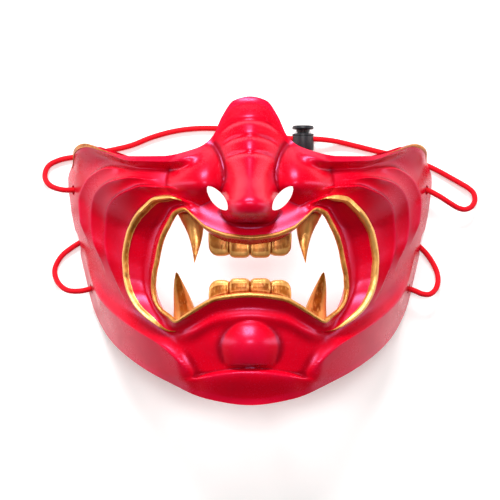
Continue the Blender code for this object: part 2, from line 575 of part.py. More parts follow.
def make_beads(turns, face, material):
    """Gilt beads along the mouth, in two lengths that meet at its corners, the first cheek fold and the flange."""
    normal = outward(face)
    lip = slice(0, 3)
    fold = slice(FACE_ROWS.index(FOLD_ROWS[0]), FACE_ROWS.index(FOLD_ROWS[2]) + 1)
    edge = slice(-3, None)
    for word, middle, reach in (("upper", 0.0, MOUTH_JOINT_TURN), ("lower", 1.0, 1.0 - MOUTH_JOINT_TURN)):
        away = (turns - middle + 1.0) % 2.0 - 1.0
        shown = np.argsort(away)
        shown = shown[np.abs(away[shown]) < reach + MERGE_DISTANCE]
        bead("mouth_trim_" + word, face[shown, lip], normal[shown, lip], material, tapered=False)
    for side, word in ((-1, "left"), (1, "right")):
        for name, rows, (start, end) in (("fold", fold, FOLD_BEAD_TURNS), ("flange", edge, EDGE_BEAD_TURNS)):
            shown = (side * turns > start) & (side * turns < end)
            bead(f"{name}_trim_{word}", face[shown, rows], normal[shown, rows], material)


def behind_lip(across, height, behind):
    """Point at a place across and up, a distance behind the plain section's surface."""
    return section_point(np.arcsin(across / section(height)[0]), height, behind)


def make_tooth_row(name, edge_turn, shows, material):
    """Four crowns side by side, their root against the back of the lip whose edge starts at a turn."""
    into_mouth = -1 if edge_turn == 0 else 1
    edge_turns = np.linspace(edge_turn, abs(edge_turn - 0.35), 60)
    edge_across, edge_height = mouth_edge(edge_turns)
    half = TEETH_IN_ROW * TOOTH_WIDTH / 2
    across = np.linspace(-half, half, TEETH_IN_ROW * 6 + 1)
    lip = np.interp(np.abs(across), edge_across, edge_height)
    crown = 1.0 - np.abs(2.0 * ((across + half) / TOOTH_WIDTH % 1.0) - 1.0) ** 4
    crown[[0, -1]] = 0.0
    root = lip - into_mouth * ROOT_HIDDEN
    tip = lip[len(lip) // 2] + into_mouth * (shows - 0.18 * TOOTH_WIDTH * (1.0 - crown))
    front = WALL + SEAT_GAP + 0.10 * TOOTH_THICKNESS * (1.0 - crown)
    back = WALL + SEAT_GAP + TOOTH_THICKNESS * (0.75 + 0.25 * crown)
    bite = tip - into_mouth * 0.18 * TOOTH_WIDTH
    ring = [(root, front), (lip, front), (bite, front), (tip, 0.6 * front + 0.4 * back), (tip, 0.3 * front + 0.7 * back),
            (bite, back), (root, back)]
    return loft(name, np.stack([behind_lip(across, up, deep) for up, deep in ring], axis=1), material)


def make_fang(name, fang, side, material):
    """Curved horn rooted behind the lip."""
    across, height = (float(value) for value in mouth_edge(np.array(fang.turn)))
    length = fang.shows + ROOT_HIDDEN
    run = np.array([side * fang.lean, fang.upward]) / math.hypot(fang.lean, 1.0)
    wide = np.array([abs(run[1]), -run[0] * fang.upward])
    start = np.array([side * across, height]) - run * ROOT_HIDDEN
    rings = []
    for ring in FANG_RINGS:
        radius = fang.radius * ring.radius ** fang.taper
        turn = 2 * math.pi * np.arange(FANG_SIDES) / FANG_SIDES
        bow = side * fang.bow * fang.radius * math.sin(math.pi * ring.along)
        spot = start + run * length * ring.along + (bow + radius * np.cos(turn))[:, None] * wide
        middle = WALL + SEAT_GAP + 0.8 * radius - 0.85 * fang.radius * ring.forward
        rings.append(behind_lip(spot[:, 0], spot[:, 1], middle - 0.8 * radius * np.sin(turn)))
    return loft(name, np.array(rings), material)


def smooth_route(points, count):
    """Points at even steps along a smooth curve through the route's own points."""
    points = np.array(points)
    knots = np.concatenate([[0.0], np.cumsum(np.linalg.norm(np.diff(points, axis=0), axis=1) ** 0.5)])
    slopes = np.gradient(points, knots, axis=0)
    at = np.linspace(0.0, knots[-1], 40 * len(points))
    i = np.clip(np.searchsorted(knots, at, side="right") - 1, 0, len(points) - 2)
    step = (knots[i + 1] - knots[i])[:, None]
    s = ((at - knots[i]) / step[:, 0])[:, None]
    fine = (
        points[i] * (1 + 2 * s) * (1 - s) ** 2 + points[i + 1] * s * s * (3 - 2 * s)
        + step * (slopes[i] * s * (1 - s) ** 2 - slopes[i + 1] * s * s * (1 - s))
    )
    run = np.concatenate([[0.0], np.cumsum(np.linalg.norm(np.diff(fine, axis=0), axis=1))])
    even = np.linspace(0.0, run[-1], count)
    return np.stack([np.interp(even, run, fine[:, k]) for k in range(3)], axis=1)


def make_cord(name, route, material):
    """Round elastic cord along a route."""
    data = bpy.data.curves.new(name, "CURVE")
    data.dimensions = "3D"
    data.bevel_depth = CORD_DIAMETER / 2
    data.bevel_resolution = 2
    data.use_fill_caps = True
    line = data.splines.new("POLY")
    places = smooth_route(route, ROUTE_POINTS)
    line.points.add(len(places) - 1)
    for point, place in zip(line.points, places):
        point.co = (*place, 1.0)
    data.materials.append(material)
    bpy.data.collections["face_guard"].objects.link(bpy.data.objects.new(name, data))


def make_lock(material):
    """Barrel lock on the cord: a body with a blind bore, and a slotted plunger with a cap, both bored for the cord."""
    bore = CORD_DIAMETER / 2 + RUNNING_GAP
    slot_end = -bore
    slot_start = bore + LOCK_TRAVEL
    plunger_end = slot_end - LOCK_END_WALL
    cap_base = slot_start + LOCK_END_WALL
    body_mouth = cap_base - LOCK_TRAVEL - RUNNING_GAP
    bore_end = plunger_end - LOCK_TRAVEL - RUNNING_GAP
    body_end = bore_end - LOCK_END_WALL
    well = PLUNGER_RADIUS + RUNNING_GAP
    along_y = Matrix.Rotation(-math.pi / 2, 4, "X")
    along_x = Matrix.Rotation(math.pi / 2, 4, "Y")

    def bar(name, radius, start, end, coat=None):
        place = Matrix.Translation(Vector(LOCK_PLACE) + Vector((0.0, (start + end) / 2, 0.0))) @ along_y
        return round_bar(name, (radius, radius), end - start, 24, place, coat)

    body = bar("cord_lock_body", LOCK_RADIUS, body_end, body_mouth, material)
    cut(body, bar("lock_bore_cutter", well, bore_end, body_mouth + LOCK_END_WALL))
    place = Matrix.Translation(LOCK_PLACE) @ along_x
    cut(body, round_bar("lock_cross_cutter", (bore, bore), 3 * LOCK_RADIUS, 16, place))

    button = bar("cord_lock_button", PLUNGER_RADIUS, plunger_end, cap_base + LOCK_CAP_HEIGHT / 2, material)
    cap = bar("lock_cap", LOCK_CAP_RADIUS, cap_base, cap_base + LOCK_CAP_HEIGHT)
    cap.hide_render = True
    cap.display_type = "WIRE"
    join = button.modifiers.new("cap", "BOOLEAN")
    join.operation = "UNION"
    join.solver = "EXACT"
    join.object = cap
    mesh = bmesh.new()
    slot = (4 * PLUNGER_RADIUS, slot_start - slot_end, 2 * bore)
    middle = Vector(LOCK_PLACE) + Vector((0.0, (slot_start + slot_end) / 2, 0.0))
    bmesh.ops.create_cube(mesh, size=1.0, matrix=Matrix.Translation(middle) @ Matrix.Diagonal((*slot, 1.0)))
    cut(button, link("lock_slot_cutter", mesh, None))


def main():
    """Builds the guard."""
    clear_scene()
    lacquer = paint("red_lacquer", (0.50, 0.006, 0.022), 0.3)
    gilt = paint("worn_gilt", (0.56, 0.27, 0.05), 0.4, metallic=0.8)
    elastic = paint("red_elastic", (0.60, 0.010, 0.020), 0.7)
    black = paint("black_plastic", (0.015, 0.015, 0.017), 0.4)
    turns = -1.0 + np.arange(2 * HALF_COLUMNS) / HALF_COLUMNS
    face = make_shell(turns, lacquer)
    make_beads(turns, face, gilt)
    make_tooth_row("upper_tooth_row", 0.0, UPPER_TOOTH_SHOWS, gilt)
    make_tooth_row("lower_tooth_row", 1.0, LOWER_TOOTH_SHOWS, gilt)
    for side, word in ((-1, "left"), (1, "right")):
        make_fang("upper_fang_" + word, UPPER_FANG, side, gilt)
        make_fang("lower_fang_" + word, LOWER_FANG, side, gilt)
    make_cord("upper_cord", UPPER_ROUTE, elastic)
    make_cord("lower_cord", LOWER_ROUTE, elastic)
    make_lock(black)


main()
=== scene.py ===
"""Dressed model of a lacquered half-face guard that lies face up on its rear rim, with its cord loose on the table.

X runs across the face, Y from chin to nose bridge and Z out of the face, in metres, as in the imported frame. The form
is the one that the frame's solids have, worked out again on a much finer grid. On top of it come the hand-painted
gilt, the modelled teeth and fangs, the braided elastic and the moulded lock.
"""

from __future__ import annotations

import logging
import math
from dataclasses import dataclass, field
from enum import Enum
from typing import NamedTuple

import bmesh
import bpy
import numpy as np
from mathutils import Matrix, Vector

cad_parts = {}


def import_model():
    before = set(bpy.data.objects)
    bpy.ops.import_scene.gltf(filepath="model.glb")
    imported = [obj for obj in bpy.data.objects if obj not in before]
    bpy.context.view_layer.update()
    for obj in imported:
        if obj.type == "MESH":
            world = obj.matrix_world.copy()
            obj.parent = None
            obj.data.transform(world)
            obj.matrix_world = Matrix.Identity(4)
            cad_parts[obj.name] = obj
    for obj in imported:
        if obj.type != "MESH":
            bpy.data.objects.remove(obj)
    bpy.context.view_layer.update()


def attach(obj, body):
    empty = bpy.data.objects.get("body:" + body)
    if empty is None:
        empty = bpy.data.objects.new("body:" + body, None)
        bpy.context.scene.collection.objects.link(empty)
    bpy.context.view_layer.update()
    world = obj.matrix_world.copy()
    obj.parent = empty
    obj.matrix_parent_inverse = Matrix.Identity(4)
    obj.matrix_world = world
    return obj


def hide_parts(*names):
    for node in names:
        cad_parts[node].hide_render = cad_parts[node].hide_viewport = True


LOG = logging.getLogger("face_guard")
MERGE_DISTANCE = 1e-7
MIX_SHARE, MIX_UNDER, MIX_OVER, MIX_RESULT = 0, 6, 7, 2  # sockets of a Mix node that is set to colours
Array = np.ndarray
Span = tuple[float, float]  # both ends of a ramp
Stay = tuple[float, float, float, float]  # the four values of a window


class Side(Enum):
    """The two sides of the guard as the picture shows them."""

    LEFT = -1
    RIGHT = 1

    @property
    def word(self) -> str:
        """The side's name in a node's name."""
        return self.name.lower()


class Jaw(Enum):
    """Upper or lower teeth: the turn of the mouth's edge where the row stands, and the way in which a tooth points."""

    UPPER = (0.0, -1.0)
    LOWER = (1.0, 1.0)

    @property
    def word(self) -> str:
        """The jaw's name in a node's name."""
        return self.name.lower()


# ---------------------------------------------------------------------------------------------- curves and meshes


def smoothstep(low: float, high: float, value: Array) -> Array:
    """Ramps smoothly from 0 at low to 1 at high.

    Args:
        low: Value where the ramp starts.
        high: Value where it ends.
        value: Values to read.

    Returns:
        The ramp at each value.
    """
    share = np.clip((value - low) / (high - low), 0.0, 1.0)
    return share * share * (3.0 - 2.0 * share)


def window(start: float, full: float, fade: float, end: float, value: Array) -> Array:
    """Stands at 1 between full and fade and runs out to 0 at start and end.

    Args:
        start: Value where the window opens.
        full: Value from where it is fully open.
        fade: Value from where it closes.
        end: Value where it is shut.
        value: Values to read.

    Returns:
        The window at each value.
    """
    return smoothstep(start, full, value) * (1.0 - smoothstep(fade, end, value))


def blend(knots: Array, values: Array, slope: Array, at: Array) -> Array:
    """Runs a cubic curve through values at knots.

    Args:
        knots: Rising places of the values.
        values: Values at the knots, a number or a point each.
        slope: Slopes at the knots.
        at: Places to read.

    Returns:
        The curve at each place.
    """
    i = np.clip(np.searchsorted(knots, at, side="right") - 1, 0, len(knots) - 2)
    step = knots[i + 1] - knots[i]
    s = np.clip((at - knots[i]) / step, 0.0, 1.0)
    if values.ndim > 1:
        s, step = s[..., None], step[..., None]
    return (
        values[i] * (1 + 2 * s) * (1 - s) ** 2
        + values[i + 1] * s * s * (3 - 2 * s)
        + step * (slope[i] * s * (1 - s) ** 2 - slope[i + 1] * s * s * (1 - s))
    )


def through(knots: Array, values: Array, at: Array) -> Array:
    """Runs a curve through values at knots that never swings past them (monotone cubic).

    Args:
        knots: Rising places of the values.
        values: Values at the knots.
        at: Places to read.

    Returns:
        The curve at each place.
    """
    knots, values = np.asarray(knots, float), np.asarray(values, float)
    rise = np.diff(values) / np.diff(knots)
    before, after = rise[:-1], rise[1:]
    same_way = before * after > 0
    inner = np.where(same_way, 2 * before * after / np.where(same_way, before + after, 1.0), 0.0)
    return blend(knots, values, np.concatenate([[0.0], inner, [0.0]]), at)


def run_along(points: Array, power: float = 1.0) -> Array:
    """Adds up the distances between points, each raised to a power, from 0 at the first point."""
    return np.concatenate([[0.0], np.cumsum(np.linalg.norm(np.diff(points, axis=0), axis=1) ** power)])


def outward(points: Array) -> Array:
    """Finds the directions out of a closed ring of columns, halfway between those of the faces on either side.

    Args:
        points: Grid of points, columns first.

    Returns:
        Unit directions at the points.
    """
    around, along = np.roll(points, -1, axis=0) - points, np.diff(points, axis=1)
    around /= np.linalg.norm(around, axis=-1, keepdims=True)
    along /= np.linalg.norm(along, axis=-1, keepdims=True)
    around = around + np.roll(around, 1, axis=0)
    along = np.concatenate([2 * along[:, :1], along[:, :-1] + along[:, 1:], 2 * along[:, -1:]], axis=1)
    normal = np.cross(around, along)
    return normal / np.linalg.norm(normal, axis=-1, keepdims=True)


def loft(rings: Array, closed: bool = False, lay_uv: bool = False) -> bmesh.types.BMesh:
    """Skins a row of rings.

    Args:
        rings: Points of the rings, one ring for each step along.
        closed: Whether the row of rings meets itself. An open row gets a flat cap at each end.
        lay_uv: Whether to lay a UV map, in metres along and in turns around.

    Returns:
        The skin, as a closed mesh.
    """
    if closed:
        rings = np.concatenate([rings, rings[:1]])
    rings = np.concatenate([rings, rings[:, :1]], axis=1)
    along, around = rings.shape[0] - 1, rings.shape[1] - 1
    run = run_along(rings.mean(axis=1))
    mesh = bmesh.new()
    bmesh.ops.create_grid(mesh, x_segments=along, y_segments=around, size=1.0)
    place = {}
    for vertex in mesh.verts:
        i = round((vertex.co.x + 1.0) / 2.0 * along)
        j = round((vertex.co.y + 1.0) / 2.0 * around)
        place[vertex] = (i, j)
        vertex.co = rings[i, j]
    if lay_uv:
        layer = mesh.loops.layers.uv.new("UVMap")
        for face in mesh.faces:
            for loop in face.loops:
                i, j = place[loop.vert]
                loop[layer].uv = (run[i], j / around)
    bmesh.ops.remove_doubles(mesh, verts=mesh.verts, dist=MERGE_DISTANCE)
    bmesh.ops.holes_fill(mesh, edges=[edge for edge in mesh.edges if edge.is_boundary], sides=0)
    return mesh


def add_piece(
    name: str, mesh: bmesh.types.BMesh, material: bpy.types.Material | None = None, crease: float = 50.0
) -> bpy.types.Object:
    """Makes an object at the origin from a mesh.

    Args:
        name: Name of the piece.
        mesh: Its mesh, which is freed.
        material: Its material. A helper has none.
        crease: Angle in degrees above which an edge stays sharp.

    Returns:
        The object.
    """
    bmesh.ops.recalc_face_normals(mesh, faces=mesh.faces)
    data = bpy.data.meshes.new(name)
    mesh.to_mesh(data)
    mesh.free()
    data.shade_smooth()
    data.set_sharp_from_angle(angle=math.radians(crease))
    if material:
        data.materials.append(material)
    made = bpy.data.objects.new(name, data)
    bpy.context.scene.collection.objects.link(made)
    return made


def carve(thing: bpy.types.Object, cutters: bmesh.types.BMesh, crease: float) -> None:
    """Takes shapes out of a piece.

    Args:
        thing: Piece to carve.
        cutters: The shapes, which are freed.
        crease: Angle in degrees above which an edge stays sharp.
    """
    cutter = add_piece(thing.name + "_cutter", cutters)
    change = thing.modifiers.new("cut", "BOOLEAN")
    change.operation = "DIFFERENCE"
    change.solver = "EXACT"
    change.object = cutter
    bpy.context.view_layer.update()
    graph = bpy.context.evaluated_depsgraph_get()
    data = bpy.data.meshes.new_from_object(thing.evaluated_get(graph))
    old = thing.data
    thing.modifiers.clear()
    thing.data = data
    data.name = thing.name
    bpy.data.meshes.remove(old)
    data.shade_smooth()
    data.set_sharp_from_angle(angle=math.radians(crease))
    bpy.data.objects.remove(cutter)


def mark_relief(thing: bpy.types.Object, rounds: int, depth: float) -> None:
    """Stores how proud each point stands of its smoothed surroundings, for painted highlights and wear on crests and
    painted shade in hollows.

    Args:
        thing: Piece to mark. Its "proud" attribute is 0 in a hollow, 0.5 on the flat and 1 on a crest.
        rounds: How often the surroundings are smoothed, which sets how wide a crest may be.
        depth: Height in metres that counts as a full crest.
    """
    data = thing.data
    points = np.empty(len(data.vertices) * 3)
    data.vertices.foreach_get("co", points)
    points = points.reshape(-1, 3)
    normals = np.empty(len(data.vertices) * 3)
    data.vertices.foreach_get("normal", normals)
    ends = np.empty(len(data.edges) * 2, np.int32)
    data.edges.foreach_get("vertices", ends)
    first, second = ends.reshape(-1, 2).T
    count = len(points)
    near = np.bincount(first, minlength=count) + np.bincount(second, minlength=count)
    soft = points.copy()
    for _ in range(rounds):
        for axis in range(3):
            total = np.bincount(first, soft[second, axis], count) + np.bincount(second, soft[first, axis], count)
            soft[:, axis] = 0.5 * soft[:, axis] + 0.5 * total / np.maximum(near, 1)
    lift = ((points - soft) * normals.reshape(-1, 3)).sum(axis=1)
    share = np.clip(0.5 + 0.5 * lift / depth, 0.0, 1.0)
    data.attributes.new("proud", "FLOAT", "POINT").data.foreach_set("value", share)


# ---------------------------------------------------------------------------------------------- finishes


def linear(colour: str) -> tuple[float, float, float, float]:
    """Turns an sRGB hex colour to linear light.

    Args:
        colour: Colour such as #C00A24.

    Returns:
        Red, green, blue and alpha.
    """
    parts = [int(colour[i : i + 2], 16) / 255 for i in (1, 3, 5)]
    return (*(p / 12.92 if p <= 0.04045 else ((p + 0.055) / 1.055) ** 2.4 for p in parts), 1.0)


def per_mm(size: float) -> float:
    """Scale of a texture on coordinates in metres whose features are this many millimetres wide."""
    return 1000.0 / size


def add(tree: bpy.types.NodeTree, kind: str, inputs: dict | None = None, **settings: object) -> bpy.types.Node:
    """Adds a node with its settings and links.

    Args:
        tree: Node tree to add to.
        kind: Type name of the node.
        inputs: Value or linked socket for each input, by name or number.
        **settings: Properties of the node.

    Returns:
        The node.
    """
    node = tree.nodes.new(kind)
    for key, value in settings.items():
        setattr(node, key, value)
    for key, value in (inputs or {}).items():
        if isinstance(value, bpy.types.NodeSocket):
            tree.links.new(value, node.inputs[key])
        else:
            node.inputs[key].default_value = value
    return node


class Noise(NamedTuple):
    """Noise pattern: its name, its features' width, how fine its detail is, and how much each axis is packed."""

    name: str
    width_mm: float
    detail: float = 2.0
    packing: tuple[float, float, float] = (1.0, 1.0, 1.0)


class Layer(NamedTuple):
    """Paint over what is there, and the range of a pattern over which it grows from nothing to its share."""

    colour: str
    pattern: str
    none_at: float
    full_at: float
    share: float


class Gloss(NamedTuple):
    """Roughness that follows a pattern: the pattern's range, and the roughness at either end of it."""

    pattern: str
    low: float
    high: float
    rough_at_low: float
    rough_at_high: float


class Grain(NamedTuple):
    """Fine relief that follows a pattern: its strength, and its depth in metres."""

    pattern: str
    strength: float
    depth: float


@dataclass(frozen=True)
class Finish:
    """A material of the guard: paint, gloss and grain that follow named patterns.

    What is the same all over stands in its surface, under the names of the shader's sockets.
    """

    name: str
    base: str
    layers: tuple[Layer, ...]
    surface: tuple[tuple[str, object], ...]
    noises: tuple[Noise, ...] = ()
    gloss: tuple[Gloss, ...] = ()
    grain: tuple[Grain, ...] = ()

    def pattern(self, tree: bpy.types.NodeTree, name: str) -> bpy.types.NodeSocket:
        """Adds the nodes of a pattern.

        Args:
            tree: Node tree of the material.
            name: Name of a noise, or "proud" for how proud the surface stands.

        Returns:
            The pattern's socket.
        """
        if name == "proud":
            return add(tree, "ShaderNodeAttribute", attribute_name="proud").outputs["Fac"]
        noise = next(row for row in self.noises if row.name == name)
        at = add(tree, "ShaderNodeTexCoord").outputs["Object"]
        packed = add(tree, "ShaderNodeMapping", {"Vector": at, "Scale": noise.packing}).outputs[0]
        inputs = {"Vector": packed, "Scale": per_mm(noise.width_mm), "Detail": noise.detail}
        return add(tree, "ShaderNodeTexNoise", inputs).outputs[0]

    def material(self) -> bpy.types.Material:
        """Builds the material.

        Returns:
            The material, with the finish's own nodes.
        """
        made = bpy.data.materials.new(self.name)
        made.use_nodes = True
        tree = made.node_tree
        tree.nodes.clear()
        named = sorted({row.pattern for row in (*self.layers, *self.gloss, *self.grain)})
        patterns = {name: self.pattern(tree, name) for name in named}
        spans = [(row.pattern, row.none_at, row.full_at, 0.0, row.share) for row in self.layers]
        followed = []
        for name, *ends in (*spans, *self.gloss):
            inputs = {"Value": patterns[name], **dict(zip(("From Min", "From Max", "To Min", "To Max"), ends))}
            followed.append(add(tree, "ShaderNodeMapRange", inputs, interpolation_type="SMOOTHSTEP").outputs[0])
        colour = linear(self.base)
        for layer, share in zip(self.layers, followed):
            inputs = {MIX_SHARE: share, MIX_UNDER: colour, MIX_OVER: linear(layer.colour)}
            colour = add(tree, "ShaderNodeMix", inputs, data_type="RGBA").outputs[MIX_RESULT]
        sockets = dict(self.surface) | {"Base Color": colour}
        for rough in followed[len(self.layers) :]:
            if "Roughness" in sockets:
                rough = add(tree, "ShaderNodeMath", {0: sockets["Roughness"], 1: rough}).outputs[0]
            sockets["Roughness"] = rough
        for grain in self.grain:
            inputs = {"Height": patterns[grain.pattern], "Strength": grain.strength, "Distance": grain.depth}
            sockets["Normal"] = add(tree, "ShaderNodeBump", inputs).outputs[0]
        if "Emission Strength" in sockets:
            sockets["Emission Color"] = colour
        shader = add(tree, "ShaderNodeBsdfPrincipled", sockets)
        add(tree, "ShaderNodeOutputMaterial", {"Surface": shader.outputs[0]})
        return made


@dataclass(frozen=True)
class CrimsonLacquer(Finish):
    """Crimson two-pack lacquer sprayed on cast resin and flatted to a satin gloss.

    The eye sees a deep saturated red with soft, slightly broken highlights. Darker red is painted into the creases as
    painted shade and lies in random clouds where the coats cloud, and lighter red is painted on the crests as painted
    highlight and rubbed wear. A dusty bloom of dried spray lies on it, whose specks are about 0.2 mm wide, and are
    drawn coarser so that they show.
    """

    # Painted shade and random cloud, painted highlight and wear, and dusty bloom specks, in this order.
    PAINTED_SHADE_AND_CLOUD, PAINTED_HIGHLIGHT_AND_WEAR, BLOOM = "#78000A", "#D60C34", "#CC3A68"

    name: str = "sprayed_crimson_lacquer"
    base: str = "#CA001A"
    noises: tuple[Noise, ...] = (Noise("cloud", 18.0, 4.0), Noise("speck", 0.7), Noise("orange_peel", 1.6))
    layers: tuple[Layer, ...] = (
        # painted shade: darker red painted into hollows and creases
        Layer(PAINTED_SHADE_AND_CLOUD, "proud", 0.46, 0.12, 0.80),
        # painted highlight, with rubbed wear: lighter red painted onto the crests
        Layer(PAINTED_HIGHLIGHT_AND_WEAR, "proud", 0.62, 0.95, 0.55),
        # darker red in random clouds of the coats, the lacquer's own uneven tone
        Layer(PAINTED_SHADE_AND_CLOUD, "cloud", 0.35, 0.70, 0.22),
        Layer(BLOOM, "speck", 0.60, 0.78, 0.22),
    )
    gloss: tuple[Gloss, ...] = (Gloss("cloud", 0.30, 0.70, 0.24, 0.34), Gloss("speck", 0.5, 0.8, 0.0, 0.12))
    grain: tuple[Grain, ...] = (Grain("orange_peel", 0.10, 0.0002),)
    surface: tuple[tuple[str, object], ...] = (
        ("IOR", 1.5), ("Specular IOR Level", 0.33), ("Specular Tint", linear("#E8A4FF")), ("Coat Weight", 0.06),
        ("Coat Roughness", 0.2),
    )


@dataclass(frozen=True)
class WornGilt(Finish):
    """Gold paint brushed by hand on cast resin and wiped back.

    The eye sees an ochre gold with patches of brown wash and brush streaks, and a pale line painted on every rim as
    painted highlight. Brown is painted into the grooves as painted shade, and in the deepest ones the red under the
    gilt, painted darker as painted shade. Bristle marks are about 0.2 mm wide, and are drawn coarser so that they
    show.
    """

    # Brown of the wash patches and of painted shade, pale of the brush streaks and of painted highlight, and the bare
    # red darkened as painted shade.
    BROWN_WASH_AND_SHADE, PALE_STREAK_AND_HIGHLIGHT, SHADED_BARE_RED = "#723206", "#E8AC5E", "#94201A"

    name: str = "brushed_gold_paint"
    base: str = "#AE6216"
    noises: tuple[Noise, ...] = (Noise("streak", 1.1, 5.0, (1.0, 0.35, 0.6)), Noise("patch", 4.5, 3.0))
    layers: tuple[Layer, ...] = (
        Layer(BROWN_WASH_AND_SHADE, "patch", 0.38, 0.68, 0.60),
        Layer(PALE_STREAK_AND_HIGHLIGHT, "streak", 0.50, 0.74, 0.55),
        # painted shade: brown painted into the grooves
        Layer(BROWN_WASH_AND_SHADE, "proud", 0.46, 0.26, 0.80),
        # the red under the gilt in the deepest grooves, painted darker as painted shade
        Layer(SHADED_BARE_RED, "proud", 0.22, 0.05, 0.80),
        # painted highlight: a pale line painted on every rim
        Layer(PALE_STREAK_AND_HIGHLIGHT, "proud", 0.60, 0.90, 0.80),
    )
    gloss: tuple[Gloss, ...] = (Gloss("streak", 0.3, 0.7, 0.30, 0.48),)
    grain: tuple[Grain, ...] = (Grain("streak", 0.35, 0.0003),)
    surface: tuple[tuple[str, object], ...] = (("Metallic", 0.5),)


@dataclass(frozen=True)
class BraidedElastic(Finish):
    """Polyester braid over a rubber core.

    The eye sees a bright red cord with fine slanting stitches that cross each other, painted darker between the yarns
    as painted shade, and a soft fibre sheen.
    """

    YARN = "#E0001A"

    name: str = "braided_polyester_elastic"
    # painted shade: the darker red painted between the yarns
    base: str = "#98000C"
    layers: tuple[Layer, ...] = (Layer(YARN, "weave", 0.45, 0.95, 1.0),)
    gloss: tuple[Gloss, ...] = (Gloss("weave", 0.3, 1.0, 0.85, 0.6),)
    grain: tuple[Grain, ...] = (Grain("weave", 0.5, 0.0002),)
    surface: tuple[tuple[str, object], ...] = (
        ("Specular IOR Level", 0.15), ("Sheen Weight", 0.06), ("Sheen Roughness", 0.4),
    )
    stitch_mm: float = 1.5
    yarns_round: int = 6

    def pattern(self, tree: bpy.types.NodeTree, name: str) -> bpy.types.NodeSocket:
        """Adds two sets of yarns that cross, from the cord's own map.

        Args:
            tree: Node tree of the material.
            name: Name of the pattern, of which there is one; it is not used.

        Returns:
            The weave's socket.
        """
        uv = add(tree, "ShaderNodeSeparateXYZ", {0: add(tree, "ShaderNodeTexCoord").outputs["UV"]})
        along, around = (
            add(tree, "ShaderNodeMath", {0: part, 1: scale}, operation="MULTIPLY").outputs[0]
            for part, scale in zip(uv.outputs, (per_mm(self.stitch_mm), self.yarns_round))
        )
        waves = {}
        for number, way in enumerate(("ADD", "SUBTRACT")):
            slant = add(tree, "ShaderNodeMath", {0: along, 1: around}, operation=way)
            turned = add(tree, "ShaderNodeMath", {0: slant.outputs[0], 1: 2 * math.pi}, operation="MULTIPLY")
            wave = add(tree, "ShaderNodeMath", {0: turned.outputs[0]}, operation="SINE")
            waves[number] = add(tree, "ShaderNodeMath", {0: wave.outputs[0]}, operation="ABSOLUTE").outputs[0]
        return add(tree, "ShaderNodeMath", waves, operation="MAXIMUM").outputs[0]


@dataclass(frozen=True)
class MouldedNylon(Finish):
    """Black nylon from a spark-eroded mould.

    The eye sees a satin black with a very fine even grain, painted a little paler on its crests and edges as painted
    highlight and polish from handling.
    """

    EDGE_HIGHLIGHT_AND_POLISH = "#202227"

    name: str = "moulded_black_nylon"
    base: str = "#08090B"
    noises: tuple[Noise, ...] = (Noise("mould", 0.35),)
    # painted highlight, with polish: a paler black painted on crests and edges
    layers: tuple[Layer, ...] = (Layer(EDGE_HIGHLIGHT_AND_POLISH, "proud", 0.58, 0.95, 0.8),)
    gloss: tuple[Gloss, ...] = (Gloss("mould", 0.3, 0.7, 0.34, 0.50),)
    grain: tuple[Grain, ...] = (Grain("mould", 0.25, 0.0001),)
    surface: tuple[tuple[str, object], ...] = (("IOR", 1.53), ("Specular IOR Level", 0.3))


@dataclass(frozen=True)
class PalePaper(Finish):
    """Matt paper on a light table: an even warm white with faint pulp clouds, lit a little from below."""

    PULP = "#EFEEED"

    name: str = "matt_background_paper"
    base: str = "#F7F6F5"
    noises: tuple[Noise, ...] = (Noise("pulp", 60.0),)
    layers: tuple[Layer, ...] = (Layer(PULP, "pulp", 0.3, 0.7, 1.0),)
    surface: tuple[tuple[str, object], ...] = (("Roughness", 0.85), ("Emission Strength", 0.30))


# ---------------------------------------------------------------------------------------------- the guard's form


class Front(NamedTuple):
    """Depth of the face on the centreline, at a height, as shares of the half height and of the face's depth."""

    height: float
    depth: float


class Width(NamedTuple):
    """Width on the rear plane at a height, as shares of the half height and of the rear half-width."""

    height: float
    width: float


class Edge(NamedTuple):
    """Point of the outer edge: how far round the section, and its height as a share of the half height."""

    turn: float
    round: float
    height: float


class Mouth(NamedTuple):
    """Point of the mouth's edge, across and up as shares of the mouth's own sizes."""

    turn: float
    across: float
    up: float


class Nose(NamedTuple):
    """The nose at a height: shares of its rise and half-width, and how round its crest is (1 is a sharp ridge)."""

    height: float
    rise: float
    width: float
    crest: float


class JawPoint(NamedTuple):
    """Point of the jaw's line, as shares of the rear half-width and of the half height."""

    across: float
    height: float


class Fold(NamedTuple):
    """Cheek fold: its crest and slopes on the way to the outer edge, its rise, and the turns where it shows."""

    crest: float
    inner: float
    outer: float
    rise: float
    start: float
    full: float
    fade: float
    end: float


class Return(NamedTuple):
    """How far the back of the wall reaches into the mouth beyond the face's edge, at a turn."""

    turn: float
    reach: float


class Wrinkle(NamedTuple):
    """Arched groove across the bridge: its height as a share of the half height, its sag, and its half-length."""

    height: float
    sag: float
    reach: float


class Row(NamedTuple):
    """Row of the grid: a fixed distance beside a way, and the share of the way from mouth to outer edge."""

    beside: float
    way: float


class Hole(NamedTuple):
    """Cord hole: how far round the section, and its height as a share of the half height."""

    round: float
    height: float


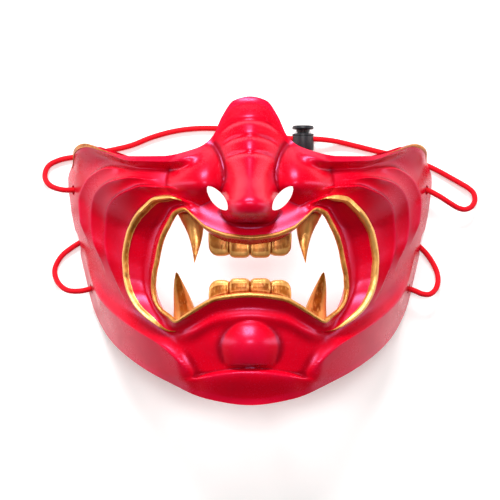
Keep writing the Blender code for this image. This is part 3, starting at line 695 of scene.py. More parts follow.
@dataclass
class GuardForm:
    """Form of the guard, from its sizes in metres. Every other class takes its places from it."""

    guard_height: float = 0.150
    rear_half_width: float = 0.095
    face_depth: float = 0.076
    section_sink: float = 0.035
    wall: float = 0.003
    mouth_half_width: float = 0.0447
    mouth_top: float = 0.0185
    mouth_bottom: float = 0.0335
    lip_rise: float = 0.0045
    lip_spread: float = 0.0075
    lower_lip_rise: float = 0.0060
    lower_lip_spread: float = 0.0058
    chin_fold_rise: float = 0.0024
    chin_fold_beside: float = 0.0115
    chin_fold_spread: float = 0.0036
    lip_blend: float = 0.014
    nose_rise: float = 0.026
    nose_half_width: float = 0.0130
    wing_rise: float = 0.0110
    wing_radius: float = 0.0125
    wing_reach: float = 0.0190
    wing_foot: float = 0.16
    nostril_cup_depth: float = 0.0030
    nostril_cup_radius: float = 0.0085
    cheek_rise: float = 0.006
    chin_rise: float = 0.0058
    chin_half_width: float = 0.0150
    chin_brow: float = 0.0125
    chin_jut: float = 0.0180
    chin_undercut: float = 0.0022
    chin_foot: float = 0.30
    chin_plate_rise: float = 0.0030
    fold_rise: float = 0.0055
    valley_depth: float = 0.0018
    flange_rise: float = 0.007
    jaw_rise: float = 0.0038
    jaw_inner_slope: float = 0.009
    jaw_outer_slope: float = 0.020
    wrinkle_depth: float = 0.0010
    wrinkle_half_width: float = 0.0014
    relief_blend: float = 0.0015
    echo_share: float = 0.6
    guide_spread: float = 0.06
    lip_bead_width: float = 0.0025
    fold_bead_width: float = 0.0030
    edge_bead_width: float = 0.0028
    cheek_place: tuple[float, float] = (0.055, 0.030)
    cheek_reach: tuple[float, float] = (0.030, 0.020)
    guide_samples: int = 9
    # From here to the tables these are shares: across the nose of its half-width, up the face of the half height and
    # round the mouth in turns. A fullness or a sweep is the power that bends a plain bowl or slope.
    ridge_softness: float = 0.06
    ridge_fullness: float = 1.25
    wing_fullness: float = 1.35
    wing_across: float = 1.62
    wing_height: float = 0.445
    nostril_cup_across: float = 1.25
    nostril_cup_height: float = 0.31
    chin_crease: float = -0.755
    chin_crease_sag: float = -0.45
    chin_over_crease: float = 0.15
    chin_fullness: float = 1.3
    chin_plate_ends: Span = (0.22, 0.46)
    flange_way: Span = (0.78, 1.0)
    flange_sweep: float = 1.5
    flange_turns: Stay = (0.13, 0.22, 0.42, 0.49)
    fold_sweep: float = 1.9
    valley_ways: Stay = (0.0, 0.06, 0.10, 0.19)
    valley_turns: Stay = (0.20, 0.30, 0.70, 0.84)
    wrinkle_fade: Span = (0.5, 1.0)
    jaw_inner_sweep: float = 2.0
    jaw_outer_sweep: float = 1.5
    jaw_across: Stay = (0.25, 0.36, 0.76, 0.92)
    lip_corner_loss: float = 0.45
    lip_corner_turns: Stay = (0.38, 0.50, 0.66, 0.78)
    lower_lip_turns: Span = (0.80, 0.90)
    chin_fold_turns: Span = (0.86, 0.93)
    rear_fade: Span = (0.90, 0.985)
    edge_bend: Span = (0.45, 1.0)
    front: tuple[Front, ...] = (
        Front(-1.00, 0.90), Front(-0.80, 0.985), Front(-0.55, 1.02), Front(-0.30, 1.01), Front(0.00, 1.00),
        Front(0.30, 0.97), Front(0.60, 0.90), Front(0.80, 0.84), Front(1.00, 0.78),
    )
    widths: tuple[Width, ...] = (
        Width(-1.00, 0.78), Width(-0.60, 0.84), Width(-0.35, 0.875), Width(-0.10, 0.92), Width(0.10, 0.955),
        Width(0.30, 0.985), Width(0.50, 1.00), Width(0.70, 0.985), Width(1.00, 0.93),
    )
    outer_edge: tuple[Edge, ...] = (
        Edge(0.00, 0.000, 1.000), Edge(0.04, 0.068, 0.975), Edge(0.08, 0.115, 0.870), Edge(0.12, 0.150, 0.745),
        Edge(0.17, 0.215, 0.655), Edge(0.23, 0.330, 0.610), Edge(0.30, 0.475, 0.615), Edge(0.36, 0.620, 0.670),
        Edge(0.41, 0.740, 0.715), Edge(0.45, 0.860, 0.670), Edge(0.485, 0.945, 0.585), Edge(0.52, 1.000, 0.490),
        Edge(0.60, 1.000, 0.280), Edge(0.65, 1.000, 0.150), Edge(0.675, 0.966, 0.095), Edge(0.70, 0.966, 0.020),
        Edge(0.725, 1.000, -0.045), Edge(0.770, 1.000, -0.320), Edge(0.80, 0.870, -0.545), Edge(0.84, 0.620, -0.750),
        Edge(0.88, 0.440, -0.855), Edge(0.94, 0.220, -0.960), Edge(1.00, 0.000, -1.000),
    )
    mouth_line: tuple[Mouth, ...] = (
        Mouth(0.00, 0.000, 0.250), Mouth(0.08, 0.210, 0.300), Mouth(0.16, 0.440, 0.510), Mouth(0.22, 0.575, 0.810),
        Mouth(0.275, 0.665, 1.000), Mouth(0.34, 0.745, 0.930), Mouth(0.39, 0.825, 0.600), Mouth(0.45, 0.905, 0.216),
        Mouth(0.53, 0.965, -0.194), Mouth(0.60, 0.994, -0.400), Mouth(0.66, 1.000, -0.560), Mouth(0.71, 0.975, -0.700),
        Mouth(0.76, 0.905, -0.835), Mouth(0.815, 0.790, -0.955), Mouth(0.85, 0.730, -1.000),
        Mouth(0.885, 0.655, -0.930), Mouth(0.92, 0.545, -0.820), Mouth(0.955, 0.315, -0.650),
        Mouth(1.00, 0.000, -0.600),
    )
    nose: tuple[Nose, ...] = (
        Nose(-1.00, 0.00, 0.55, 2.4), Nose(0.13, 0.00, 0.55, 2.4), Nose(0.165, 0.12, 0.68, 2.2),
        Nose(0.195, 0.55, 0.88, 2.2), Nose(0.24, 0.92, 1.06, 2.2), Nose(0.30, 1.00, 1.16, 2.0),
        Nose(0.37, 0.90, 1.14, 1.6), Nose(0.47, 0.70, 1.10, 1.35), Nose(0.60, 0.54, 1.20, 1.3),
        Nose(0.75, 0.42, 1.35, 1.3), Nose(0.90, 0.28, 1.45, 1.35), Nose(1.00, 0.14, 1.45, 1.5),
    )
    folds: tuple[Fold, ...] = (
        Fold(0.20, 0.15, 0.06, 1.15, 0.17, 0.30, 0.76, 0.90),
        Fold(0.42, 0.15, 0.04, 0.80, 0.22, 0.34, 0.62, 0.78),
        Fold(0.58, 0.12, 0.035, 0.70, 0.28, 0.38, 0.60, 0.73),
        Fold(0.74, 0.12, 0.035, 0.60, 0.33, 0.42, 0.58, 0.68),
    )
    wrinkles: tuple[Wrinkle, ...] = (Wrinkle(0.62, 1.4, 0.013), Wrinkle(0.73, 1.7, 0.015), Wrinkle(0.84, 2.0, 0.016))
    lip_returns: tuple[Return, ...] = (
        Return(0.00, 0.0018), Return(0.22, 0.0018), Return(0.35, -0.0052), Return(0.81, -0.0052),
        Return(0.92, -0.0020), Return(1.00, -0.0020),
    )
    jaw_line: tuple[JawPoint, ...] = (
        JawPoint(0.25, -0.86), JawPoint(0.29, -0.80), JawPoint(0.34, -0.72), JawPoint(0.43, -0.62),
        JawPoint(0.58, -0.51), JawPoint(0.73, -0.37), JawPoint(0.84, -0.20), JawPoint(0.95, 0.05),
    )

    @property
    def half_height(self) -> float:
        """Half of the guard's height."""
        return self.guard_height / 2

    def edge_curve(self, table: tuple, turn: Array) -> tuple[Array, Array]:
        """Reads an edge table at each turn.

        Args:
            table: Points of the edge, whose second value is odd across the face and third even.
            turn: Turns from -1 to 1, 0 at the top centre.

        Returns:
            Both values at each turn.
        """
        knots, across, up = (np.array(column) for column in zip(*table))
        knots = np.concatenate([-knots[:0:-1], knots, 2 - knots[-2::-1]])
        across = np.concatenate([-across[:0:-1], across, -across[-2::-1]])
        up = np.concatenate([up[:0:-1], up, up[-2::-1]])
        return np.sign(turn) * through(knots, across, np.abs(turn)), through(knots, up, np.abs(turn))

    def section(self, height: Array) -> tuple[Array, Array, Array]:
        """Gives the plan ellipse at a height.

        Args:
            height: Heights along Y.

        Returns:
            Half-width, half-depth, and the angle where the ellipse meets the rear plane.
        """
        share = height / self.half_height
        deep = self.face_depth * through(*zip(*self.front), share) + self.section_sink
        rear_angle = np.arccos(self.section_sink / deep)
        wide = self.rear_half_width * through(*zip(*self.widths), share) / np.sin(rear_angle)
        return wide, deep, rear_angle

    def section_point(self, angle: Array, height: Array, behind: Array | float = 0.0) -> Array:
        """Places points on the plain section.

        Args:
            angle: Angles from the centreline.
            height: Heights along Y.
            behind: Distances behind the surface.

        Returns:
            The points.
        """
        wide, deep, _ = self.section(height)
        out = np.stack([np.sin(angle) / wide, np.zeros_like(angle), np.cos(angle) / deep], axis=-1)
        out /= np.linalg.norm(out, axis=-1, keepdims=True)
        place = np.stack([wide * np.sin(angle), height + 0 * angle, deep * np.cos(angle) - self.section_sink], axis=-1)
        return place - out * np.asarray(behind)[..., None]

    def behind_lip(self, across: Array, height: Array, behind: Array) -> Array:
        """Places points by how far across and up they are, a distance behind the plain section."""
        return self.section_point(np.arcsin(across / self.section(height)[0]), height, behind)

    def mouth_edge(self, turn: Array) -> tuple[Array, Array]:
        """Gives the place of the mouth's edge, across and up, at each turn."""
        across, up = self.edge_curve(self.mouth_line, turn)
        return across * self.mouth_half_width, np.where(up > 0, up * self.mouth_top, up * self.mouth_bottom)

    def way_out(self, turn: Array) -> tuple[Array, Array, Array, Array, Array]:
        """Gives where each column of the grid starts and heads for.

        Columns head for the outer edge's mean over the turns on either side, so that what follows them runs smoothly.

        Args:
            turn: Turns of the columns.

        Returns:
            Round and height at the mouth, round and height at the goal, and the length between.
        """
        across, start_height = self.mouth_edge(turn)
        wide, _, rear_angle = self.section(start_height)
        start_round = np.arcsin(across / wide) / rear_angle
        beside = np.linspace(-self.guide_spread, self.guide_spread, self.guide_samples)
        end_round, end_share = np.mean([self.edge_curve(self.outer_edge, turn + step) for step in beside], axis=0)
        end_height = end_share * self.half_height
        wide, _, rear_angle = self.section((start_height + end_height) / 2)
        length = np.hypot((end_round - start_round) * rear_angle * wide, end_height - start_height)
        return start_round, start_height, end_round, end_height, length

    def grid_place(self, turn: Array, far: Array) -> tuple[Array, Array]:
        """Gives how far round and how high points are. The end of the way out bends to the true outer edge.

        Args:
            turn: Turns of the columns.
            far: Distances from the mouth's edge.

        Returns:
            How far round the section, and the heights.
        """
        start_round, start_height, end_round, end_height, length = self.way_out(turn)
        edge_round, edge_share = self.edge_curve(self.outer_edge, turn)
        share = far / length
        bend = smoothstep(*self.edge_bend, share)
        round_share = start_round + share * (end_round - start_round) + bend * (edge_round - end_round)
        height = start_height + share * (end_height - start_height)
        return round_share, height + bend * (edge_share * self.half_height - end_height)

    def dome(self, across: Array, height: Array, place: tuple[float, float], wide: float, high: float) -> Array:
        """Raises a smooth hill on each side of the centreline.

        Args:
            across: Places across the face.
            height: Places up the face.
            place: Centre of the hill.
            wide: Its radius across.
            high: Its radius up.

        Returns:
            Shares of the hill's rise, 1 at its centre.
        """
        away = np.hypot((np.abs(across) - place[0]) / wide, (height - place[1]) / high)
        return np.clip(1.0 - away**2, 0.0, 1.0) ** 2

    @staticmethod
    def hill(away: Array, fullness: float, foot: float) -> Array:
        """Raises a hill with a soft foot.

        Args:
            away: Distances from its centre, 1 at its edge.
            fullness: How full it is.
            foot: Share of its height over which its foot softens.

        Returns:
            Shares of the hill's rise.
        """
        inside = np.clip(1.0 - away**2, 0.0, 1.0)
        return inside**fullness * smoothstep(0.0, foot, inside)

    def nose_relief(self, across: Array, height: Array) -> Array:
        """Raises the nose: a ridge that ends in a bulb, with a wing on each side.

        Args:
            across: Places across the face.
            height: Places up the face.

        Returns:
            The rise at each place.
        """
        share = height / self.half_height
        knots, rise, width, crest = zip(*self.nose)
        from_ridge = np.abs(across) / (self.nose_half_width * through(knots, width, share))
        softness = self.ridge_softness
        slope = np.clip(np.sqrt(from_ridge**2 + softness**2) - softness, 0.0, 1.0) ** through(knots, crest, share)
        ridge = self.nose_rise * through(knots, rise, share) * (1.0 - slope) ** self.ridge_fullness
        aside = np.abs(across) - self.wing_across * self.nose_half_width
        above = height - self.wing_height * self.half_height
        from_wing = np.hypot(
            *(away / np.where(away > 0, self.wing_reach, self.wing_radius) for away in (aside, above))
        )
        wing = self.wing_rise * self.hill(from_wing, self.wing_fullness, self.wing_foot)
        nose = (ridge + wing + np.sqrt((ridge - wing) ** 2 + self.relief_blend**2) - self.relief_blend) / 2
        nostril = (self.nostril_cup_across * self.nose_half_width, self.nostril_cup_height * self.half_height)
        cup = self.dome(across, height, nostril, self.nostril_cup_radius, self.nostril_cup_radius)
        return np.maximum(nose - self.nostril_cup_depth * cup, 0.0)

    def broad_relief(self, turn: Array, way: Array, across: Array, height: Array) -> Array:
        """Gives the relief that shows on both sides of the wall: nose, cheekbone, flange, chin and its plate.

        Args:
            turn: Turns of the columns.
            way: Shares of the way from the mouth to the outer edge.
            across: Places across the face.
            height: Places up the face.

        Returns:
            The rise at each place.
        """
        rise = self.nose_relief(across, height)
        rise += self.cheek_rise * self.dome(across, height, self.cheek_place, *self.cheek_reach)
        crease = (self.chin_crease + self.chin_crease_sag * (across / self.half_height) ** 2) * self.half_height
        above = height - self.chin_over_crease * self.half_height - crease
        from_chin = np.hypot(across / self.chin_half_width, above / np.where(above > 0, self.chin_brow, self.chin_jut))
        undercut = smoothstep(crease, crease + self.chin_undercut, height)
        rise += self.chin_rise * self.hill(from_chin, self.chin_fullness, self.chin_foot) * undercut
        plate = 1.0 - smoothstep(crease - self.chin_undercut, crease, height)
        shown = 1.0 - smoothstep(*self.chin_plate_ends, np.abs(across) / self.half_height)
        rise += self.chin_plate_rise * plate * shown
        flange = smoothstep(*self.flange_way, way) ** self.flange_sweep * window(*self.flange_turns, np.abs(turn))
        return rise + self.flange_rise * flange

    def fine_relief(self, turn: Array, way: Array, across: Array, height: Array) -> Array:
        """Gives the relief that the back echoes in part: cheek folds, the jaw's ridge and wrinkles on the bridge.

        Args:
            turn: Turns of the columns.
            way: Shares of the way from the mouth to the outer edge.
            across: Places across the face.
            height: Places up the face.

        Returns:
            The rise at each place.
        """
        rise = np.zeros_like(way)
        for fold in self.folds:
            shown = window(fold.start, fold.full, fold.fade, fold.end, np.abs(turn))
            climb = np.clip((way - fold.crest + fold.inner) / fold.inner, 0.0, 1.0) ** self.fold_sweep
            drop = 1.0 - smoothstep(fold.crest, fold.crest + fold.outer, way)
            rise = np.maximum(rise, self.fold_rise * fold.rise * shown * climb * drop)
        rise = rise - self.valley_depth * window(*self.valley_ways, way) * window(*self.valley_turns, np.abs(turn))
        rise = rise + self.jaw_rise * self.jaw_ridge(across, height)
        for wrinkle in self.wrinkles:
            low = height - wrinkle.height * self.half_height + wrinkle.sag * across**2 / self.half_height
            groove = np.exp(-((low / self.wrinkle_half_width) ** 2))
            shown = 1.0 - smoothstep(*self.wrinkle_fade, np.abs(across) / wrinkle.reach)
            rise = rise - self.wrinkle_depth * groove * shown
        return rise

    def jaw_ridge(self, across: Array, height: Array) -> Array:
        """Gives the crest along the jaw's line, steep towards the mouth and long towards the chin's underside.

        Args:
            across: Places across the face.
            height: Places up the face.

        Returns:
            Shares of the ridge's rise.
        """
        share = np.abs(across) / self.rear_half_width
        above = height - through(*zip(*self.jaw_line), share) * self.half_height
        steep = np.clip(1.0 - above / self.jaw_inner_slope, 0.0, 1.0) ** self.jaw_inner_sweep
        long = np.clip(1.0 + above / self.jaw_outer_slope, 0.0, 1.0) ** self.jaw_outer_sweep
        return np.where(above > 0, steep, long) * window(*self.jaw_across, share)

    def face_points(self, turn: Array, far: Array, lip: float = 1.0, fine: float = 1.0) -> Array:
        """Places points on the guard's surface.

        Args:
            turn: Turns of the columns.
            far: Distances from the mouth's edge.
            lip: Share of the lip's rise.
            fine: Share of the fine relief.

        Returns:
            The points.
        """
        length = self.way_out(turn)[-1]
        way = np.clip((far - self.lip_bead_width) / (length - self.lip_bead_width - self.edge_bead_width), 0.0, None)
        round_share, height = self.grid_place(turn, far)
        wide, _, rear_angle = self.section(height)
        angle = round_share * rear_angle
        across = wide * np.sin(angle)
        rise = self.broad_relief(turn, way, across, height) + fine * self.fine_relief(turn, way, across, height)
        beside = np.abs(turn)
        low = smoothstep(*self.lower_lip_turns, beside)
        spread = self.lip_spread + (self.lower_lip_spread - self.lip_spread) * low
        lip_rise = self.lip_rise + (self.lower_lip_rise - self.lip_rise) * low
        lip_rise *= 1.0 - self.lip_corner_loss * window(*self.lip_corner_turns, beside)
        rise = rise + lip * lip_rise * np.exp(-((far / spread) ** 2))
        fold = np.exp(-(((far - self.chin_fold_beside) / self.chin_fold_spread) ** 2))
        rise = rise + self.chin_fold_rise * smoothstep(*self.chin_fold_turns, beside) * fold
        rise = rise * (1.0 - smoothstep(*self.rear_fade, np.abs(round_share)))
        return self.section_point(angle, height, -rise)

    def distances(self, turn: Array, rows: list[Row]) -> Array:
        """Gives how far along the way out each row lies.

        Args:
            turn: Turns of the columns.
            rows: Rows of the grid.

        Returns:
            Distances from the mouth's edge, one column for each turn.
        """
        length = self.way_out(turn)[-1][:, None]
        beside, way = (np.array(column)[None, :] for column in zip(*rows))
        return self.lip_bead_width + beside + way * (length - self.lip_bead_width - self.edge_bead_width)


# ---------------------------------------------------------------------------------------------- pieces


@dataclass
class Shell:
    """The lacquered shell: a fine skin of the guard's form with its nostrils and cord holes cut."""

    form: GuardForm
    columns: int = 472
    face_rows: int = 138
    back_rows: int = 44
    nostril_length: float = 0.0150
    nostril_width: float = 0.0060
    nostril_spacing: float = 0.0312
    nostril_slant: float = math.radians(40)
    nostril_height: float = 0.33
    nostril_point: float = 1.35
    cord_hole_radius: float = 0.0026
    holes: tuple[Hole, ...] = (Hole(0.93, 0.413), Hole(0.93, -0.267))

    def surfaces(self) -> tuple[Array, Array]:
        """Works out the face and the back of the wall.

        Returns:
            Points of the face and of the back, one column for each turn.
        """
        form = self.form
        turns = -1.0 + 2.0 * np.arange(self.columns) / self.columns
        rim = [Row(-form.lip_bead_width, 0.0), Row(-0.5 * form.lip_bead_width, 0.0)]
        outer = [Row(0.5 * form.edge_bead_width, 1.0), Row(form.edge_bead_width, 1.0)]
        face_rows = rim + [Row(0.0, way) for way in np.linspace(0.0, 1.0, self.face_rows)] + outer
        back_rows = rim[:1] + [Row(0.0, way) for way in np.linspace(0.0, 1.0, self.back_rows)] + outer[1:]
        turn = turns[:, None]
        face = form.face_points(turn, form.distances(turns, face_rows))
        far = form.distances(turns, back_rows)
        near_lip = 1.0 - smoothstep(0.0, form.lip_blend, far)
        drawn = through(*zip(*form.lip_returns), np.abs(turn))
        back = form.face_points(turn, far - drawn * near_lip, lip=0.0, fine=form.echo_share)
        back = back - form.wall * outward(back)
        back[..., 2] = np.maximum(back[..., 2], 0.0)
        return face, back

    def nostril_cutter(self, mesh: bmesh.types.BMesh, side: Side) -> None:
        """Adds a lens-shaped bar where a nostril goes.

        Args:
            mesh: Mesh of the cutters.
            side: Side of the nose.
        """
        form = self.form
        centre = (side.value * self.nostril_spacing / 2, self.nostril_height * form.half_height, form.face_depth)
        place = Matrix.Translation(centre) @ Matrix.Rotation(-side.value * self.nostril_slant, 4, "Z")
        made = bmesh.ops.create_cone(
            mesh, cap_ends=True, segments=48, radius1=1.0, radius2=1.0, depth=form.face_depth
        )["verts"]
        for vertex in made:
            x, y, z = vertex.co
            pointed = math.copysign(abs(x) ** self.nostril_point, x)
            vertex.co = place @ Vector((pointed * self.nostril_width / 2, y * self.nostril_length / 2, z))

    def cord_hole_cutter(self, mesh: bmesh.types.BMesh, side: Side, hole: Hole) -> None:
        """Adds a round bar where the cord goes through the wall.

        Args:
            mesh: Mesh of the cutters.
            side: Side of the face.
            hole: Place of the hole.
        """
        form = self.form
        height = np.array(hole.height * form.half_height)
        angle = side.value * hole.round * form.section(height)[2]
        middle = form.section_point(angle, height, form.wall / 2)
        out = Vector(middle - form.section_point(angle, height, form.wall))
        place = Matrix.Translation(middle) @ out.to_track_quat("Z", "Y").to_matrix().to_4x4()
        radius = self.cord_hole_radius
        bmesh.ops.create_cone(
            mesh, cap_ends=True, segments=32, radius1=radius, radius2=radius, depth=4 * form.wall, matrix=place
        )

    def build(self, finish: bpy.types.Material) -> bpy.types.Object:
        """Builds and dresses the shell.

        Args:
            finish: Its material.

        Returns:
            The piece.
        """
        face, back = self.surfaces()
        made = add_piece("lacquered_shell", loft(np.concatenate([face, back[:, ::-1]], axis=1), closed=True), finish)
        cutters = bmesh.new()
        for side in Side:
            self.nostril_cutter(cutters, side)
            for hole in self.holes:
                self.cord_hole_cutter(cutters, side, hole)
        carve(made, cutters, crease=45.0)
        mark_relief(made, rounds=40, depth=0.0009)
        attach(made, "guard")
        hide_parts("shell")
        return made


class Ripple(NamedTuple):
    """Wave in a painted line's width: waves in a unit of turn, its shift, and its share of the waver."""

    waves: float
    shift: float
    share: float


class GiltLine(Enum):
    """The crest or edge that an open bead lies on, with its word in a node's name."""

    FOLD = "fold"
    EDGE = "flange"


@dataclass
class GiltBeads:
    """Raised gilt lines: one round the mouth, one on each cheek fold and one on each tip of the upper edge."""

    form: GuardForm
    height: float = 0.0015
    sink: float = 0.0002
    underside: float = 0.0004
    fullness: float = 2.6
    columns: int = 640
    open_columns: int = 480
    across: int = 11
    waver: float = 0.07
    ripples: tuple[Ripple, ...] = (Ripple(61, 0.4, 1.0), Ripple(143, 2.1, 0.6), Ripple(287, 1.3, 0.5))
    fold_turns: Span = (0.24, 0.87)
    edge_turns: Span = (0.33, 0.49)
    taper: float = 0.075
    end_share: float = 0.12

    def uneven(self, turns: Array) -> Array:
        """Gives the hand-painted waver of a line's width at each turn."""
        wave = sum(ripple.share * np.sin(ripple.waves * turns + ripple.shift) for ripple in self.ripples)
        return 1.0 + self.waver * wave / sum(ripple.share for ripple in self.ripples)

    def skin(self, turns: Array, centre: Array, half_width: float, size: Array, closed: bool = False) -> Array:
        """Lays a bead's rings on the surface.

        Args:
            turns: Turns of its columns.
            centre: How far from the mouth's edge its middle runs, at each column.
            half_width: Half of its full width.
            size: Share of the full size at each column.
            closed: Whether the bead meets itself.

        Returns:
            Rings of points.
        """
        lap = 2 if closed else 0
        turns, centre, size = (np.pad(column, lap, mode="wrap") for column in (turns, centre, size))
        spread = np.linspace(-1.0, 1.0, self.across)
        far = centre[:, None] + (half_width * size * self.uneven(turns))[:, None] * spread
        seat = self.form.face_points(turns[:, None], far)
        normal = np.cross(np.gradient(seat, axis=0), np.gradient(seat, axis=1))
        normal /= np.linalg.norm(normal, axis=-1, keepdims=True)
        own = slice(lap, len(turns) - lap)
        seat, normal, size = seat[own], normal[own], size[own, None, None]
        rise = (1.0 - np.abs(spread) ** self.fullness)[:, None] * self.height * size
        top = seat + normal * (rise - self.sink)
        under = seat - normal * (self.sink + self.underside * size)
        return np.concatenate([top, under[:, ::-1]], axis=1)

    def mouth(self, finish: bpy.types.Material) -> bpy.types.Object:
        """Builds the bead round the mouth.

        Args:
            finish: Its material.

        Returns:
            The piece.
        """
        turns = -1.0 + 2.0 * np.arange(self.columns) / self.columns
        half = self.form.lip_bead_width / 2
        rings = self.skin(turns, np.full(self.columns, half), half, np.ones(self.columns), closed=True)
        made = add_piece("mouth_gilt_bead", loft(rings, closed=True), finish)
        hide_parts("mouth_trim_upper", "mouth_trim_lower")
        return made

    def open_bead(self, line: GiltLine, side: Side, finish: bpy.types.Material) -> bpy.types.Object:
        """Builds a bead with two drawn-out ends on a cheek fold or on the upper edge.

        Args:
            line: What it lies on.
            side: Side of the face.
            finish: Its material.

        Returns:
            The piece.
        """
        form = self.form
        if line is GiltLine.FOLD:
            (start, end), half, row = self.fold_turns, form.fold_bead_width / 2, Row(0.0, form.folds[0].crest)
        else:
            (start, end), half, row = self.edge_turns, form.edge_bead_width / 2, Row(form.edge_bead_width / 2, 1.0)
        turns = np.linspace(start, end, round((end - start) * self.open_columns))
        drawn = smoothstep(0.0, self.taper, np.minimum(turns - start, end - turns))
        size = drawn * (1.0 - self.end_share) + self.end_share
        turns = side.value * turns
        rings = self.skin(turns, form.distances(turns, [row])[:, 0], half, size)
        made = add_piece(f"{line.name.lower()}_gilt_bead_{side.word}", loft(rings), finish)
        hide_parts(f"{line.value}_trim_{side.word}")
        return made

    def build(self, finish: bpy.types.Material) -> list[bpy.types.Object]:
        """Builds and dresses every bead.

        Args:
            finish: Their material.

        Returns:
            The pieces.
        """
        made = [self.mouth(finish)]
        made += [self.open_bead(line, side, finish) for side in Side for line in GiltLine]
        for piece in made:
            mark_relief(piece, rounds=10, depth=0.00035)
            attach(piece, "guard")
        return made


@dataclass
class ToothRow:
    """Four crowns side by side behind the lip, each a pillow with a bevelled rim and a groove on either side."""

    form: GuardForm
    jaw: Jaw
    shows: float
    tooth_width: float = 0.0108
    thickness: float = 0.0055
    root: float = 0.0045
    seat_gap: float = 0.0003
    lip_turns: float = 0.35
    lip_steps: int = 60
    crowns: int = 4
    columns_each: int = 30
    groove: float = 0.0008
    groove_power: int = 9
    crown_round: float = 0.0005
    corner_share: float = 0.14
    corner_power: float = 4.5
    corner_thins: float = 0.15
    outer_from: Span = (0.9, 1.15)
    outer_shorter: float = 0.0009
    outer_deeper: float = 0.0008
    round_from: float = 0.74
    end_drop: float = 0.0034
    end_squeeze: float = 0.35
    bevel: float = 0.0007
    bevel_shares: tuple[float, ...] = (0.25, 0.5, 0.75)
    belly: float = 0.0008
    belly_fullness: float = 0.7
    belly_stretch: float = 1.1
    panel: float = 0.00028
    panel_across: Stay = (-0.86, -0.70, 0.70, 0.86)
    panel_up: Stay = (0.16, 0.28, 0.70, 0.82)
    front_points: int = 20
    back_points: int = 8

    def lip_height(self, across: Array) -> Array:
        """Gives the height of the lip's edge.

        Args:
            across: Places across the mouth.

        Returns:
            The height at each place.
        """
        turn = self.jaw.value[0]
        turns = np.linspace(turn, abs(turn - self.lip_turns), self.lip_steps)
        edge_across, edge_height = self.form.mouth_edge(turns)
        return np.interp(np.abs(across), edge_across, edge_height)

    def rings(self) -> Array:
        """Works out the row's rings, one for each step across the mouth.

        Returns:
            Rings of points.
        """
        into = self.jaw.value[1]
        half = self.crowns * self.tooth_width / 2
        across = np.linspace(-half, half, self.crowns * self.columns_each + 1)
        lip = self.lip_height(across)
        within = 2.0 * ((across + half) / self.tooth_width % 1.0) - 1.0
        within[-1] = 1.0
        outer = smoothstep(*self.outer_from, np.abs(across) / self.tooth_width)
        corner = np.abs(within) ** self.corner_power
        rounded = np.clip((np.abs(across) / half - self.round_from) / (1.0 - self.round_from), 0.0, 1.0)
        shorter = self.corner_share * self.tooth_width * corner + self.outer_shorter * outer
        shorter += self.end_drop * (1.0 - np.sqrt(1.0 - rounded**2))
        tip = lip[len(lip) // 2] + into * (self.shows - shorter)
        shoulder = tip - into * self.bevel
        front = self.form.wall + self.seat_gap
        deep_front = front + self.groove * np.abs(within) ** self.groove_power + self.crown_round * within**2
        deep_front += self.outer_deeper * outer
        deep_back = front + self.thickness * (1.0 - self.corner_thins * corner)
        inside = window(*self.panel_across, within)
        sides = []
        for share in np.linspace(-1.0, 1.0, self.front_points):
            deep = deep_front
            if share >= 0:
                swell = math.sin(math.pi * min(share * self.belly_stretch, 1.0)) ** self.belly_fullness
                deep = deep - self.belly * swell + self.panel * inside * window(*self.panel_up, share)
            sides.append((lip + (into * self.root if share < 0 else shoulder - lip) * share, deep))
        for share in self.bevel_shares:
            bulge = into * self.bevel * math.sin(math.pi * share)
            sides.append((shoulder + bulge, deep_front + share * (deep_back - deep_front)))
        for share in np.linspace(1.0, -1.0, self.back_points):
            sides.append((lip + (into * self.root if share < 0 else shoulder - lip) * share, deep_back))
        squeeze = np.ones_like(across)
        squeeze[[0, -1]] = self.end_squeeze
        middle = (deep_front + deep_back) / 2
        return np.stack(
            [self.form.behind_lip(across, up, middle + (deep - middle) * squeeze) for up, deep in sides], axis=1
        )

    def build(self, finish: bpy.types.Material) -> bpy.types.Object:
        """Builds and dresses the row.

        Args:
            finish: Its material.

        Returns:
            The piece.
        """
        made = add_piece(f"{self.jaw.word}_gilt_teeth", loft(self.rings()), finish, crease=70.0)
        mark_relief(made, rounds=14, depth=0.00030)
        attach(made, "guard")
        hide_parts(f"{self.jaw.word}_tooth_row")
        return made


class Facet(NamedTuple):
    """Flat side of a lower fang: the angle that it faces, in degrees, and its distance as a share of the radius."""

    faces: float
    distance: float


class FangRing(NamedTuple):
    """Ring of a fang: shares of its length and radius, and how far it swings forward of the lip."""

    along: float
    radius: float
    forward: float


